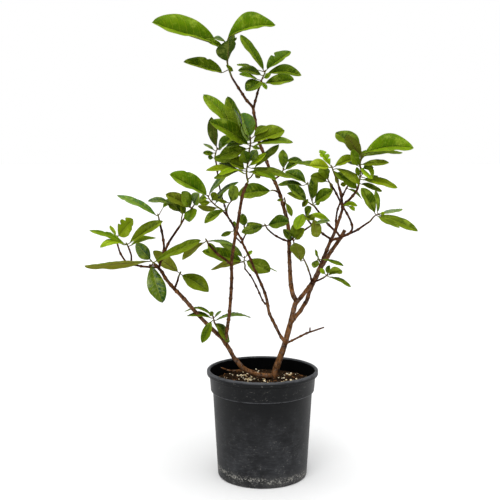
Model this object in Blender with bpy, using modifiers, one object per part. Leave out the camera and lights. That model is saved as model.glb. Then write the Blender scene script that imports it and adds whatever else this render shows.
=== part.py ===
"""Potted cherry laurel: a young, loosely branched laurel in a round black nursery pot.

Units are metres, +Z up. The origin is the centre of the pot's underside, and -Y is the front.
Stems and leaves are placed as they are seen from the front viewpoint: a pixel (x across, y down)
in a 500 x 500 view, and a depth in millimetres behind the pot's axis.
"""

import math

import bmesh
import bpy
from mathutils import Matrix, Vector

OBJECT = "potted_cherry_laurel"

# Pot
POT_HEIGHT = 0.213
RIM_RADIUS = 0.110
RIM_DEPTH = 0.0105
RIM_THICKNESS = 0.0065
COLLAR_TOP_RADIUS = 0.1045
COLLAR_FOOT_RADIUS = 0.1022
COLLAR_HEIGHT = 0.042
BODY_TOP_RADIUS = 0.0982
LEDGE = 0.0026
FOOT_RADIUS = 0.0885
FOOT_ROUNDING = 0.0045
WALL = 0.0018
FLOOR = 0.0035
POT_STEPS = 32
NOTCH_COUNT = 4
NOTCH_FIRST_ANGLE = math.radians(246)
NOTCH_WIDTH = 0.024
NOTCH_HEIGHT = 0.0024
NOTCH_REACH = 0.008
DRAIN_SLOT = 0.003
DRAIN_SLOT_SHARE = 0.6
CUTTER_OVERSHOOT = 0.001
INNER_FILLET = 0.002

# Soil
SOIL_LEVEL = 0.186
SOIL_CLEARANCE = 0.0004
SOIL_LUMP = 0.0013
SOIL_FINE_LUMP = 0.6
SOIL_RINGS = 6
SOIL_STEPS = 16
ROOT_DEPTH = 0.045
ROOT_TAPER = 0.7
FOOT_SWELL = 1.05
ROOT_CLEARANCE = 1.5
HOLE_POINTS = 5

# Gap that touching pieces keep, and how far a split face's midpoint is set in
GAP = 0.0003
MIDPOINT_INSET = 0.00001

# Wood
MAIN_SPACING = 0.026
TWIG_SPACING = 0.020
SHOOT_SPACING = 0.013
KNOT_EVERY = 3
KNOT_SWELL = 1.12
CURVE_PARTS = 8
MERGE_DISTANCE = 0.00001

# Leaves
LEAF_ASPECT = 0.42
LEAF_THICKNESS = 0.0010
PETIOLE_WIDTH = 0.0024
PETIOLE_LENGTH = 0.006
LEAF_FOLD = math.radians(20)
EDGE_WAVE = 0.07
WAVE_STEP = 2.4
LEAF_PHASE = 1.7
BASE_REACH = 0.06
ROWS_LONG = (0.0, 0.18, 0.5, 0.84)
ROWS_MEDIUM = (0.18, 0.52, 0.84)
ROWS_SHORT = (0.27, 0.74)
LONG_LEAF = 0.060
SHORT_LEAF = 0.030
SHOOT_RADIUS = 0.0016
SHOOT_HEEL = 1.25
SHOOT_TAPER = 0.8
SHOOT_LEAD = 0.003

# Front viewpoint that the pixels are read from
EYE = Vector((-0.0247, -1.70, 0.639))
PITCH = math.radians(6.38)
FOCAL_PIXELS = 877.7
VIEW_CENTRE = 250.0
MM = 0.001

# The stems' depths open out from the trunk's foot by this much
FOOT_DEPTH = 30
DEPTH_SPREAD = 1.3

# Colours of the sub-parts
POT_COLOUR = (0.026, 0.027, 0.030)
SOIL_COLOUR = (0.045, 0.028, 0.018)
BARK_COLOUR = (0.17, 0.085, 0.045)
LEAF_COLOURS = {
    "bright": (0.09, 0.24, 0.008),
    "mid": (0.06, 0.15, 0.008),
    "dark": (0.015, 0.075, 0.012),
    "olive": (0.15, 0.18, 0.03),
    "lime": (0.33, 0.48, 0.015),
}

# Woody stems: route in pixels, depths in mm along it, diameters in mm along it
MAIN_STEMS = {
    "leader": (
        "", [(273, 378), (278, 363), (283, 349.5), (287, 336), (291, 321), (294.5, 306), (296, 301),
         (293, 295), (291.5, 288), (290.5, 280), (289.5, 260), (289.2, 252), (289, 238), (287.5, 222),
         (283.5, 207), (279.5, 193), (274.5, 181), (272, 177), (268, 165), (263.5, 153),
         (259.5, 143), (256.5, 131), (255.5, 122), (254, 114), (253, 108), (250.5, 104.5),
         (246, 99.5), (242.5, 94), (238.5, 88), (235, 82.5), (232.5, 78.5)],
        (30, 27, 25, 40, 55, 60, 55, 50, 22), (13.5, 11, 9.4, 7.4, 6.8, 6.2, 5.6, 5.2, 3.6)),
    "left_limb": (
        "leader", [(273, 377), (268, 376), (262, 375.5), (257, 374.5), (252, 372.5), (246, 370), (241, 366),
         (237, 361), (233, 356), (230, 350), (227, 345.5), (224, 341), (222, 338), (217, 333.5),
         (210, 327), (204, 321), (198, 314.5), (192, 308), (186, 301), (180, 294.5), (174, 288.5),
         (166, 279), (162, 272), (158.5, 268), (156, 265)],
        (26, 12, 8, 4, 0, -12, -25, -38, -50), (10.5, 9, 8.5, 8, 7.4, 7, 6.6, 6, 5)),
    "front_stem": (
        "left_limb", [(224, 341), (226, 337), (227, 330), (228.5, 320), (229.5, 312), (230.5, 300),
         (231.3, 288),
         (231.7, 275), (231.5, 264), (232.5, 254), (233.8, 245), (235.3, 236), (237, 228),
         (238.3, 220), (239.5, 212), (241, 203), (242.5, 195), (244.5, 189), (247, 183.5)],
        (2, -12, -30, -45, -60, -66, -71, -75), (6.4, 6, 5.8, 5.5, 5.2, 5)),
    "back_stem": (
        "leader", [(285, 343), (280, 335), (275, 325), (270, 315), (268.5, 310), (267.5, 303), (265.5, 295),
         (262.5, 287), (258, 277), (254, 268), (250, 258), (246, 250), (243, 244), (242, 240),
         (239.5, 236), (237, 231.5), (235, 229), (233, 225), (230, 220), (226, 214.5), (222.5, 210.5)],
        (30, 40, 52, 62, 70, 78, 86, 94, 101), (6, 5.4, 5, 4.6, 4.2, 3.8, 3.4)),
    "right_stem": (
        "leader", [(295.5, 304), (302, 296), (307, 289.5), (312, 282.5), (316, 275.5), (319, 269),
         (322, 262),
         (325, 254.5), (328, 247), (331, 240), (333.5, 235), (336, 228.5), (338.5, 221.5),
         (341, 214), (342.5, 208), (342, 203), (341.5, 198), (340.5, 192), (339, 187)],
        (25, 14, 4, -5, -15, -25, -32, -40, -46), (8, 7.4, 6.8, 6.2, 5.6, 4.8, 4.4)),
    "cut_stem": (
        "leader", [(291, 324), (296, 316), (300, 311.5), (303, 306.5), (307, 300), (309, 293), (313, 284),
         (317, 276), (321, 268), (326, 259.5), (331, 251.5), (336, 244.5), (341, 237), (345, 230)],
        (27, 34, 40, 44, 44), (7.6, 7.2, 7.2, 7.4, 6.6)),
}
TWIGS = {
    "soil_stub": (
        "left_limb", [(247, 370), (243, 370.5), (237, 370.5), (232, 371), (226, 369.5), (221, 367.5)],
        
                  (2, 12, 22, 30), (3.4, 2.8, 2.4)),
    "dead_twig": (
        "leader", [(285, 345), (291, 341), (299, 337), (306, 333.5), (310, 332), (316, 330),
         (324, 327.3)],
        
                  (28, 20, 12, 4), (3.8, 3.4, 2.6)),
    "dead_bud": ("dead_twig", [(309.5, 332.5), (310, 330), (310, 327.5)], (14, 13), (3, 1.8)),
    "end_bud": ("left_limb", [(150, 266), (149, 265)], (-47, -48), (3, 2)),
    "f": ("front_stem", [(231, 264.5), (226, 260), (220, 256), (216, 252.5), (212, 248), (208.5, 244)],
          (-50, -56, -62), (4, 3.4)),
    "h": ("back_stem", [(267.5, 306), (263, 301), (258, 290), (252, 278), (248, 272.5), (245.5, 269.5)],
          (56, 90, 108, 120), (3, 2.6)),
    "n": (
        "back_stem", [(226.5, 215), (225, 207), (222.5, 199), (220, 189), (218, 178), (217, 168),
         (216, 162)],
        
          (96, 114, 126, 134, 140), (3, 2.6)),
    "p": (
        "left_limb", [(159, 268.5), (160.5, 262), (163, 256), (164, 247), (163, 238), (161.5, 230),
         (160, 224)],
        
          (-48, -42, -34, -30), (4.4, 3.6)),
    "q": ("p", [(162.8, 257), (165.5, 250), (168.5, 243), (172, 237.5), (176, 231.5), (179.5, 226.5)],
          (-43, -42, -42), (4.2, 3.8)),
    "a": (
        "left_limb", [(158, 267.5), (150, 267), (140, 266), (128, 263), (125, 260.5), (120.5, 253.5),
         (118, 246)],
        
          (-48, -32, -12, 0), (3.8, 3)),
    "b": ("a", [(140, 266), (134, 264.8), (131.5, 262.5), (131.3, 255.5), (129.5, 250)],
          (-34, -38, -42), (3.2, 2.8)),
    "e": ("left_limb", [(175, 289.5), (177.5, 281), (178.3, 277.5)], (-36, -30, -28), (4, 3.4)),
    "r": ("left_limb", [(222.5, 338), (219, 330), (216.5, 326), (215, 323.5)], (0, -10, -18), (3.6, 3)),
    "j": (
        "leader", [(288.5, 241), (283, 239.5), (278, 237), (273, 234), (269, 230.5)],
        (56, 44, 36), (3.4, 2.8)),
    "k": ("back_stem", [(242.5, 242), (244, 237.5), (245.3, 235)], (87, 80, 76), (3, 2.6)),
    "l": ("back_stem", [(243.5, 245), (238, 239.5), (235, 236)], (86, 98, 106), (3, 2.6)),
    "m": ("back_stem", [(228.5, 218), (227, 213.5), (226.8, 210.5)], (96, 90, 86), (3, 2.6)),
    "v": (
        "leader", [(253.5, 110), (255, 102), (256.3, 97.5), (258, 91), (259.3, 87.5)],
        (50, 58, 64), (4.4, 3.4)),
    "t": ("leader", [(273.5, 180), (277, 177.5), (280, 175)], (54, 50, 47), (3.4, 2.8)),
    "z": ("leader", [(279.5, 193.5), (277.5, 192), (275.8, 191)], (56, 50, 44), (3.2, 2.8)),
    "d": ("leader", [(283.7, 208), (284.6, 205), (285, 202.5)], (56, 50, 46), (3, 2.4)),
    "cc": ("leader", [(290, 241), (296, 235.5), (303, 231), (308.5, 227.3)], (58, 34, 8, -6), (3.6, 3)),
    "ce": ("leader", [(289.8, 255), (291.5, 250), (293, 246.5)], (58, 42, 26), (3.2, 2.8)),
    "bb": (
        "right_stem", [(331.5, 239.5), (326, 236), (320, 231.5), (312, 225), (309, 221.5)],
        (-22, -4, 12, 20), (4, 3.2)),
    "aa": (
        "cut_stem", [(341, 237), (337, 232.5), (333, 229), (326, 222), (321, 215), (318, 211),
         (315, 207)],
        
           (44, 52, 60), (4.2, 3.2)),
    "ee": ("cut_stem", [(340.5, 238), (346, 235), (352, 232.5), (358, 229.5), (363, 226), (369, 222)],
           (44, 52, 58), (4.4, 3.4)),
    "ff": ("right_stem", [(331, 241), (337, 238.5), (343, 236.5), (349, 233.5), (352.3, 228.5), (351, 222),
            (347.5, 214.5), (344, 208.5), (340, 201), (335, 191), (331.5, 185.5)],
           (-22, -10, -2, 0, -4, -14), (4, 3)),
    "hh": ("right_stem", [(336, 229), (336, 220), (337.5, 210), (340.5, 202), (343, 195), (346, 189)],
           (-27, -12, -6, -14, -22), (3.2, 2.6)),
    "ll": ("right_stem", [(342, 209), (344, 204.5), (349, 200), (353, 195.5), (356.5, 191), (358, 187)],
           (-35, -44, -54), (4.6, 3.8)),
    "nn": ("ll", [(343.5, 205.5), (345, 205.4), (346.3, 205.3)], (-37, -38, -40), (3, 2.4)),
    "oo": ("right_stem", [(312, 282.5), (315, 281.5), (319, 280), (323, 278)], (4, -4, -8), (3.6, 2.8)),
    "ss": ("right_stem", [(321.5, 263), (320, 261.5), (319, 260)], (-8, -14, -18), (3, 2.4)),
    "cf": ("right_stem", [(312, 283), (310.5, 276), (308.8, 271)], (4, -2, -8), (3.2, 2.6)),
}

# Sprays: the stem that carries it, its shoots as (x, y, depth), its tone, and its leaves. A leaf row is
# base x, base y, tip x, tip y, seen width in pixels (negative where the underside is seen), the tip's
# reach away from the viewer in mm, the midrib's arch as a share of the length
SPRAYS = {
    "spray_crown_left": ("leader", [[(231, 75, 20), (229.5, 71, 18), (227.8, 65, 14), (226.5, 56, 10),
                                     (227, 48, 8), (228, 41, 6)]], "bright", [
        (230, 75, 183.5, 62, 11, -25, 0.17), (227.8, 65, 221, 44, -15, -50, 0.05),
        (222, 47, 152, 22.5, 14, -30, 0.17), (229, 37, 275.5, 25, 14, 15, 0.20),
        (229, 50, 233, 34, 5, 25, 0.05),
        (224, 50, 207, 41, 5, 24, 0.10),
    ]),
    "spray_crown_right": ("v", [[(261, 82, 66), (262.5, 78, 68), (264, 75, 69), (265, 72, 70)]], "dark", [
        (264, 72, 240, 34.5, 5.5, 15, 0.04), (266.5, 71, 290.5, 51.3, 6.5, 22, 0.08),
        (265.5, 74.5, 301.5, 75.5, 8, -10, 0.18), (262, 84.5, 294, 80, 8, -34, 0.18),
        (264, 80, 271, 73.5, 4, -22, 0.05),
        (260, 77, 235.5, 69.5, 8, -14, 0.12), (257, 80, 236, 75.5, 5, -40, 0.05),
        (259.5, 84, 246, 90.5, 11, -40, 0.10),
    ]),
    "spray_front_whorl": ("front_stem", [[(248, 181, -75), (247, 178, -75), (246.5, 172, -76),
                                          (247.5, 165, -76), (249, 161, -76)],
                                         [(247.5, 180, -75), (251, 177, -74), (253.5, 173, -73)]], "mid", [
        (246, 168, 229.5, 163, 7, -18, 0.18), (245, 171, 206, 170.5, 5.5, -34, 0.06),
        (245, 171, 218, 163.5, 4, 12, 0.06), (245, 173, 219.5, 174.5, 3, -24, 0.10),
        (240, 172, 214, 178, 6, 28, 0.05), (249, 168, 266, 153.5, 4.5, -24, 0.05),
        (248, 165, 243, 151, 10, -38, 0.05), (249, 163, 257, 150, 8, -22, 0.05),
        (255, 167, 279, 144.5, -6, 14, 0.05), (249, 171, 272, 178, -7, -34, 0.08),
        (252, 168, 291.5, 178, 7, -10, 0.06), (255, 170, 275.5, 180, 5, -50, 0.08),
        (244, 161, 213, 156, 8, 18, 0.10),
    ]),
    "spray_front_crown": ("spray_front_whorl", [[(249, 153, -77), (250, 147, -78), (250.5, 143, -79),
                                                 (250.5, 139, -80)]], "bright", [
        (247, 141, 203.5, 95, 10, -12, 0.08), (246, 139, 228, 96.8, 13, 22, 0.06),
        (248, 146, 209.5, 122.5, 12, -36, 0.10), (250, 139, 233.5, 109.5, 5, -18, 0.04),
        (251.5, 137, 241, 114.5, 12, -34, 0.05), (249, 141, 240, 128, 6, -36, 0.05),
        (253, 137, 266.5, 119, 6, 22, 0.05), (253, 144, 284.5, 130.5, 11, 12, 0.08),
        (253, 146, 293, 142, 5.5, -22, 0.08),
        (246, 143, 226, 147.5, 5, -26, 0.08), (248, 147, 222, 156, 12, -10, 0.12),
    ]),
    "spray_back_thin": ("n", [[(215, 157, 141), (216, 152, 142), (217, 149.5, 142)]], "dark", [
        (216, 149, 212, 117, -10, -16, 0.04), (217, 150, 229, 136, 8, 24, 0.05),
        (218, 150, 217, 140, 4, -18, 0.05),
        (219, 150, 228, 143, 3, -18, 0.15), (214, 153, 203, 153, 4, -18, 0.05),
    ]),
    "spray_back_bright": ("back_stem", [[(217, 206.5, 103), (213, 203, 105), (210, 200, 106),
                                         (208.5, 197, 107)]], "bright", [
        (206.5, 195, 169.5, 174.5, 9, -26, 0.18),
        (210, 202, 200, 202.5, 5, -28, 0.05), (218, 208, 198, 206.5, -6, 18, 0.12),
        (213, 202, 211.5, 192.5, 6, -22, 0.05), (209.5, 193, 231, 171, 4.5, -44, 0.08),
        (214, 200, 238.5, 182.3, 3, -44, 0.08),
    ]),
    "spray_back_middle": ("m", [[(227.5, 207, 84), (229, 204, 82), (231, 201.5, 80)]], "mid", [
        (226, 208, 204.5, 223.5, 5, -22, 0.06), (231, 200.5, 237, 186.5, 10, -28, 0.05),
    ]),
    "spray_leader_low_leaf": ("z", [[(274.5, 190.6, 42), (273, 190.4, 40)]], "dark", [
        (272, 190.5, 238, 195, 13, -14, 0.10),
    ]),
    "spray_leader_side": ("t", [[(281.5, 173, 46), (283, 170.5, 45)]], "dark", [
        (282.8, 169, 283, 149.3, 9, 12, 0.05), (284, 169.5, 300.5, 159, 9, -18, 0.08),
    ]),
    "spray_leader_bud": ("d", [[(285, 200.5, 44), (284.7, 199, 42)]], "olive", [
        (284.5, 200, 291.5, 216.5, 4, -22, 0.10),
    ]),
    "spray_middle": ("j", [[(267, 228.3, 34), (265.5, 225.5, 32)]], "dark", [
        (263.5, 225.5, 241.5, 232.5, 7.5, -16, 0.06), (266, 224, 288, 227, 9, -24, 0.30),
    ]),
    "spray_behind_middle": ("k", [[(246, 232, 74), (244.5, 228, 72)]], "mid", [
        (243.5, 227.5, 242, 213.5, 7, -18, 0.05), (245.5, 227, 252.5, 222.5, 4, -16, 0.05),
    ]),
    "spray_behind_small": ("l", [[(234.2, 233, 110), (234, 230.5, 111)]], "mid", [
        (233, 230.5, 221, 236, 4, -10, 0.05), (234.3, 229.5, 234, 221, 4, 14, 0.05),
    ]),
    "spray_low_back": ("h", [[(245, 265, 121), (244, 262, 122), (244.5, 258, 122)]], "bright", [
        (242, 260.5, 202, 251.5, 11, -20, 0.06), (242, 262.5, 211.5, 270, -4.5, -12, 0.08),
        (247, 261, 270, 271.5, 15, -28, 0.10),
        (245.5, 259, 252, 250.5, 3, 16, 0.05), (243, 257, 219, 241.5, 7, 20, 0.06),
    ]),
    "spray_left_small": ("f", [[(207.5, 242.5, -63), (206.5, 240.5, -64)]], "olive", [
        (205, 241, 182.5, 260, -6, 14, 0.14), (208, 238.5, 233, 244.5, 3, -18, 0.05),
        (207, 242.5, 216, 252, -11, -40, 0.06),
    ]),
    "spray_left_high": ("p", [[(159, 219, -30), (158.3, 216, -30)]], "dark", [
        (157, 215, 117, 196, 5.5, -6, 0.06), (159.5, 214.5, 181, 201, 6, 26, 0.12),
    ]),
    "spray_left_fan": ("q", [[(183, 220.5, -43), (187, 214, -44), (191, 209, -45), (193, 206.5, -46)],
                             [(181, 224.5, -43), (181.5, 218.5, -46), (182.5, 214, -47)]], "olive", [
        (182, 211.5, 148.5, 201.5, 5, -30, 0.06), (190, 206, 170, 197, 9, -18, 0.06),
        (190, 206, 180, 195, 8, -36, 0.05), (192.5, 205, 200.5, 193.5, 7, -22, 0.05),
        (193.5, 205, 204, 194, 4, 16, 0.05), (193, 208.5, 189.5, 222, 11, -38, 0.08),
        (183.5, 212.5, 166, 195, 7, 8, 0.05),
    ]),
    "spray_left_end": ("left_limb", [[(153, 262.5, -51), (151.5, 261, -52)]], "dark", [
        (150, 260.5, 136, 243.5, 11, -36, 0.06), (149.5, 263, 84.5, 266, -6.5, -60, 0.05),
        (151.5, 265, 163, 302.5, 19, -38, 0.10), (154.5, 260.5, 196.5, 245, 8, -26, 0.12),
    ]),
    "spray_far_left_top": ("a", [[(117, 241, 2), (117, 237.5, 3)]], "olive", [
        (117.8, 236, 133, 219, 14, -24, 0.06), (115.5, 237.5, 105, 235, 5, -8, 0.05),
    ]),
    "spray_far_left": ("b", [[(128, 246.5, -42), (127, 244.5, -43)]], "olive", [
        (125.5, 243.5, 89.5, 230.5, 5, -12, 0.12), (125.5, 246, 100, 247.5, 4.5, -34, 0.16),
        (128.5, 243, 164, 221, 7, 8, 0.12), (129, 245.5, 156, 239, 3.5, 18, 0.06),
    ]),
    "spray_left_low": ("e", [[(179, 275.5, -27), (180, 273.5, -27)]], "olive", [
        (178.5, 272.5, 153, 251, -10, 10, 0.06), (182, 274, 208.5, 292, 14, -28, 0.14),
    ]),
    "spray_low_left": ("r", [[(214, 321, -20), (213.5, 318, -21)]], "mid", [
        (212, 315, 184.5, 311.5, 3, -40, 0.16), (211.5, 319, 187.5, 316, 5, -30, 0.08),
        (213, 317, 210, 310.5, 6, -18, 0.05), (216, 319, 250.5, 317.5, 4, -52, 0.16),
        (215.5, 321, 229.5, 342, 11, -32, 0.08), (211.5, 321.5, 202, 343, 6.5, -26, 0.05),
    ]),
    "spray_centre_dark": ("ce", [[(294, 243.5, 20), (293.5, 241, 18)]], "dark", [
        (291.5, 241, 282.5, 229.3, 7, -16, 0.05), (293.5, 239.5, 294.5, 223.5, 7, -14, 0.05),
        (295, 241.5, 305, 228.5, 6, -24, 0.05),
    ]),
    "spray_centre_olive": ("cc", [[(310.5, 226, -9), (312, 224.5, -12)]], "olive", [
        (313.5, 223, 330, 221.5, 3.5, -24, 0.06), (313, 225.5, 318, 236.5, -10, -36, 0.08),
    ]),
    "spray_centre_lime": ("bb", [[(306.5, 218.8, 22), (304.5, 216, 23)]], "lime", [
        (304.5, 214.5, 312, 210, 7, -26, 0.05), (303.5, 214.5, 330.5, 221.5, 5, 12, 0.20),
        (302.5, 216, 296.5, 229.5, 10, -32, 0.08),
    ]),
    "spray_round_leaf": ("cf", [[(307.5, 267, -12), (305, 261.5, -16), (303.5, 258.5, -18)]], "olive", [
        (302.5, 257.5, 295, 245, -13, -28, 0.06),
    ]),
    "spray_right_middle": ("aa", [[(311.5, 204.5, 61), (308, 202, 62)],
                                  [(313, 205.8, 60.5), (309.5, 193, 64), (308, 184, 66)]], "mid", [
        (309.5, 201, 285, 185.5, 9, -14, 0.06), (308, 203, 287, 193.5, 5, -34, 0.05),
        (311, 201.5, 313, 176, 8, -18, 0.05), (313.5, 203, 333, 190.5, 9, -30, 0.06),
        (307, 183.5, 285.5, 171.5, 8, 22, 0.05), (308, 190, 278, 185.5, 4, 18, 0.05),
    ]),
    "spray_far_right": ("ee", [[(373, 217.5, 60), (376, 215, 61), (378, 214.3, 61)]], "olive", [
        (374.5, 214, 361, 188, 10, -8, 0.05), (378, 213, 375.5, 190, 3, 20, 0.05),
        (380, 213.8, 402.5, 209.3, 3, 16, 0.05),
        (379, 216, 418, 231.3, 6.5, -22, 0.10), (376.5, 217, 399.5, 228, 6, -46, 0.08),
    ]),
    "spray_right_crown": ("right_stem", [[(337.5, 181.5, -47), (336, 178, -48), (334, 173, -49),
                                          (332, 167.5, -50)]], "olive", [
        (331, 168, 309.5, 165.5, 9, -14, 0.06), (332, 166, 319.5, 150, 7, 12, 0.05),
        (333.5, 166, 355.5, 157.5, 7, -18, 0.14), (335, 171, 360, 184, 6, -32, 0.08),
        (337, 174, 358, 188, 8, 10, 0.05), (330.5, 169, 295, 162.5, 4, 26, 0.05),
    ]),
    "spray_right_behind": ("ff", [[(330, 183.3, -15), (328.5, 180.5, -16)]], "dark", [
        (327.5, 180, 309.5, 177.5, 8, 4, 0.06),
        (328.5, 179, 322, 168, 6, 12, 0.05),
    ]),
    "spray_right_inner": ("hh", [[(347.3, 187, -22), (348.5, 184.5, -22)]], "dark", [
        (349.5, 186, 362, 198, 3, 18, 0.08), (347.5, 183, 338, 172, 7, 12, 0.05),
        (348.8, 183, 345, 170, 6, -14, 0.05),
    ]),
    "spray_right_step": ("ll", [[(359, 183.5, -56), (360, 178, -57), (361, 172.5, -58)]], "mid", [
        (361.5, 180, 397.5, 188, 5.5, -22, 0.14), (360.5, 183.5, 382, 191, 4, 18, 0.05),
        (362, 176.5, 377, 176.5, 3, 18, 0.08),
    ]),
    "spray_right_top": ("spray_right_step", [[(360, 165, -59), (361, 158, -60), (361.5, 154, -61)]], "mid", [
        (360.5, 152.5, 336, 132.3, 13, 12, 0.10), (359.5, 159, 348, 135.5, -12, -28, 0.05),
        (359.5, 166, 351, 150.5, 8, -34, 0.05),
        (363.5, 154, 413.8, 148, 13, -16, 0.20), (363.5, 156, 402.5, 152.8, 4, 28, 0.08),
        (362.5, 164, 389, 163, 5, -38, 0.10), (362, 167.5, 372, 179, 5, -14, 0.26),
        (361, 168.5, 372.5, 179, 4.5, -40, 0.10),
    ]),
    "spray_right_lime": ("nn", [[(347, 205.4, -42), (347.8, 205.6, -44)]], "lime", [
        (348.5, 205, 358, 207, 4, -14, 0.05), (348, 206.5, 354.5, 211, 4, -26, 0.05),
    ]),
    "spray_right_low": ("oo", [[(325, 276.7, -10), (326.5, 275.5, -11)]], "mid", [
        (327.5, 276, 351, 287, 3, -16, 0.12), (327, 274.5, 342, 270.5, -6, 14, 0.05),
        (325.5, 275, 320, 268.5, 4, -16, 0.05),
    ]),
    "spray_right_inside": ("ss", [[(318.5, 258.8, -20), (318.2, 257.5, -21)]], "dark", [
        (317.8, 258.5, 313.5, 267, 6, -14, 0.05), (317.8, 256.5, 315.5, 249, 4, -14, 0.05),
        (319.5, 257.5, 343.5, 266, 3.5, -24, 0.08),
    ]),
}


def sight(x, y, depth):
    """Point that a pixel shows, at a depth in mm behind the pot's axis."""
    across = x - VIEW_CENTRE
    up = VIEW_CENTRE - y
    ray = Vector((
        across,
        FOCAL_PIXELS * math.cos(PITCH) + up * math.sin(PITCH),
        up * math.cos(PITCH) - FOCAL_PIXELS * math.sin(PITCH),
    ))
    return EYE + ray * ((depth * MM - EYE.y) / ray.y)


def stem_point(x, y, depth):
    """Point of a stem, seen at a pixel, with its depth opened out from the trunk's foot."""
    return sight(x, y, FOOT_DEPTH + (depth - FOOT_DEPTH) * DEPTH_SPREAD)


def metres(pixels, point):
    """Real length of a stretch of pixels seen at a point."""
    return pixels * (point.y - EYE.y) / (FOCAL_PIXELS * math.cos(PITCH))


def along(values, share):
    """Value at a share of the way along evenly spaced values."""
    place = share * (len(values) - 1)
    index = min(int(place), len(values) - 2)
    return values[index] + (values[index + 1] - values[index]) * (place - index)


def smooth(points, spacing):
    """Evenly spaced points on a smooth curve through the given points."""
    ends = [points[0] * 2 - points[1]] + points + [points[-1] * 2 - points[-2]]
    fine = []
    for before, start, end, after in zip(ends, ends[1:], ends[2:], ends[3:]):
        for step in range(CURVE_PARTS):
            t = step / CURVE_PARTS
            fine.append(0.5 * (2 * start + (end - before) * t
                               + (2 * before - 5 * start + 4 * end - after) * t ** 2
                               + (3 * start - before - 3 * end + after) * t ** 3))
    fine.append(points[-1])
    lengths = [0.0]
    for start, end in zip(fine, fine[1:]):
        lengths.append(lengths[-1] + (end - start).length)
    count = max(2, round(lengths[-1] / spacing))
    even = []
    index = 0
    for step in range(count + 1):
        target = lengths[-1] * step / count
        while index < len(fine) - 2 and lengths[index + 1] < target:
            index += 1
        span = lengths[index + 1] - lengths[index]
        even.append(fine[index].lerp(fine[index + 1], (target - lengths[index]) / span if span else 0))
    return even


def material(name, colour, roughness):
    """Principled material of a sub-part."""
    finish = bpy.data.materials.new(name)
    finish.use_nodes = True
    shader = finish.node_tree.nodes["Principled BSDF"]
    shader.inputs["Base Color"].default_value = (*colour, 1)
    shader.inputs["Roughness"].default_value = roughness
    shader.inputs["Metallic"].default_value = 0
    finish.diffuse_color = (*colour, 1)
    return finish


def add_object(name, mesh, collection):
    """New object of a mesh, in a collection."""
    piece = bpy.data.objects.new(name, mesh)
    collection.objects.link(piece)
    return piece


def baked_mesh(piece):
    """Mesh of an object with its modifiers applied."""
    bpy.context.view_layer.update()
    evaluated = piece.evaluated_get(bpy.context.evaluated_depsgraph_get())
    return bpy.data.meshes.new_from_object(evaluated)


def tube(name, points, radii, resolution):
    """Closed round tube along points, with a radius at each point."""
    curve = bpy.data.curves.new(name, "CURVE")
    curve.dimensions = "3D"
    curve.bevel_depth = 1.0
    curve.bevel_resolution = resolution
    curve.use_fill_caps = True
    spline = curve.splines.new("POLY")
    spline.points.add(len(points) - 1)
    for knot, point, radius in zip(spline.points, points, radii):
        knot.co = (*point, 1)
        knot.radius = radius
    source = add_object(name, curve, workshop)
    mesh = baked_mesh(source)
    bpy.data.objects.remove(source)
    cage = bmesh.new()
    cage.from_mesh(mesh)
    bmesh.ops.remove_doubles(cage, verts=cage.verts, dist=MERGE_DISTANCE)
    bmesh.ops.triangulate(cage, faces=cage.faces)
    cage.to_mesh(mesh)
    cage.free()
    return add_object(name, mesh, workshop)


def union(name, pieces, finish):
    """Join closed pieces that cross each other into one body."""
    group = bpy.data.collections.new(name + "_pieces")
    workshop.children.link(group)
    for piece in pieces[1:]:
        group.objects.link(piece)
    body = pieces[0]
    join = body.modifiers.new("Join", "BOOLEAN")
    join.operation = "UNION"
    join.operand_type = "COLLECTION"
    join.collection = group
    join.solver = "MANIFOLD"
    mesh = baked_mesh(body)
    for piece in pieces:
        bpy.data.objects.remove(piece)
    bpy.data.collections.remove(group)
    finished(name, mesh, finish)


def split_to_triangles(cage):
    """Triangulate; where two faces would share a diagonal, one of them gets a midpoint of its own."""
    source = cage.faces.layers.int.new("source")
    for index, face in enumerate(cage.faces):
        face[source] = index
    bmesh.ops.triangulate(cage, faces=cage.faces)
    for edge in [edge for edge in cage.edges if len(edge.link_faces) > 2]:
        owners = [face[source] for face in edge.link_faces]
        owner = next(number for number in owners if owners.count(number) == 2)
        halves = [face for face in edge.link_faces if face[source] == owner]
        inward = -(halves[0].normal + halves[1].normal).normalized()
        middle = cage.verts.new((edge.verts[0].co + edge.verts[1].co) / 2 + inward * MIDPOINT_INSET)
        ends = list(edge.verts)
        for face in halves:
            corners = list(face.verts)
            cage.faces.remove(face)
            for end in ends:
                cage.faces.new([middle if corner is end else corner for corner in corners])


def finished(name, mesh, finish):
    """Put a sub-part's mesh in the model, shaded smooth."""
    cage = bmesh.new()
    cage.from_mesh(mesh)
    split_to_triangles(cage)
    cage.to_mesh(mesh)
    cage.free()
    mesh.shade_smooth()
    mesh.set_sharp_from_angle(angle=math.radians(40))
    mesh.name = name
    mesh.materials.clear()
    mesh.materials.append(finish)
    add_object(name, mesh, model)


def turned(name, profile, steps):
    """Solid turned about the pot's axis from a profile of (radius, height)."""
    mesh = bpy.data.meshes.new(name)
    cage = bmesh.new()
    corners = [cage.verts.new((radius, 0, height)) for radius, height in profile]
    for start, end in zip(corners, corners[1:]):
        cage.edges.new((start, end))
    cage.to_mesh(mesh)
    cage.free()
    piece = add_object(name, mesh, workshop)
    spin = piece.modifiers.new("Turn", "SCREW")
    spin.steps = steps
    spin.render_steps = steps
    spin.use_merge_vertices = True
    spin.merge_threshold = 0.00005
    return piece


def pot_wall_radius(height):
    """Outer radius of the pot's wall under its rim."""
    step = POT_HEIGHT - COLLAR_HEIGHT
    if height >= step:
        share = (height - step) / (POT_HEIGHT - RIM_DEPTH - step)
        return COLLAR_FOOT_RADIUS + (COLLAR_TOP_RADIUS - COLLAR_FOOT_RADIUS) * share
    return FOOT_RADIUS + (BODY_TOP_RADIUS - FOOT_RADIUS) * height / step


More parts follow.
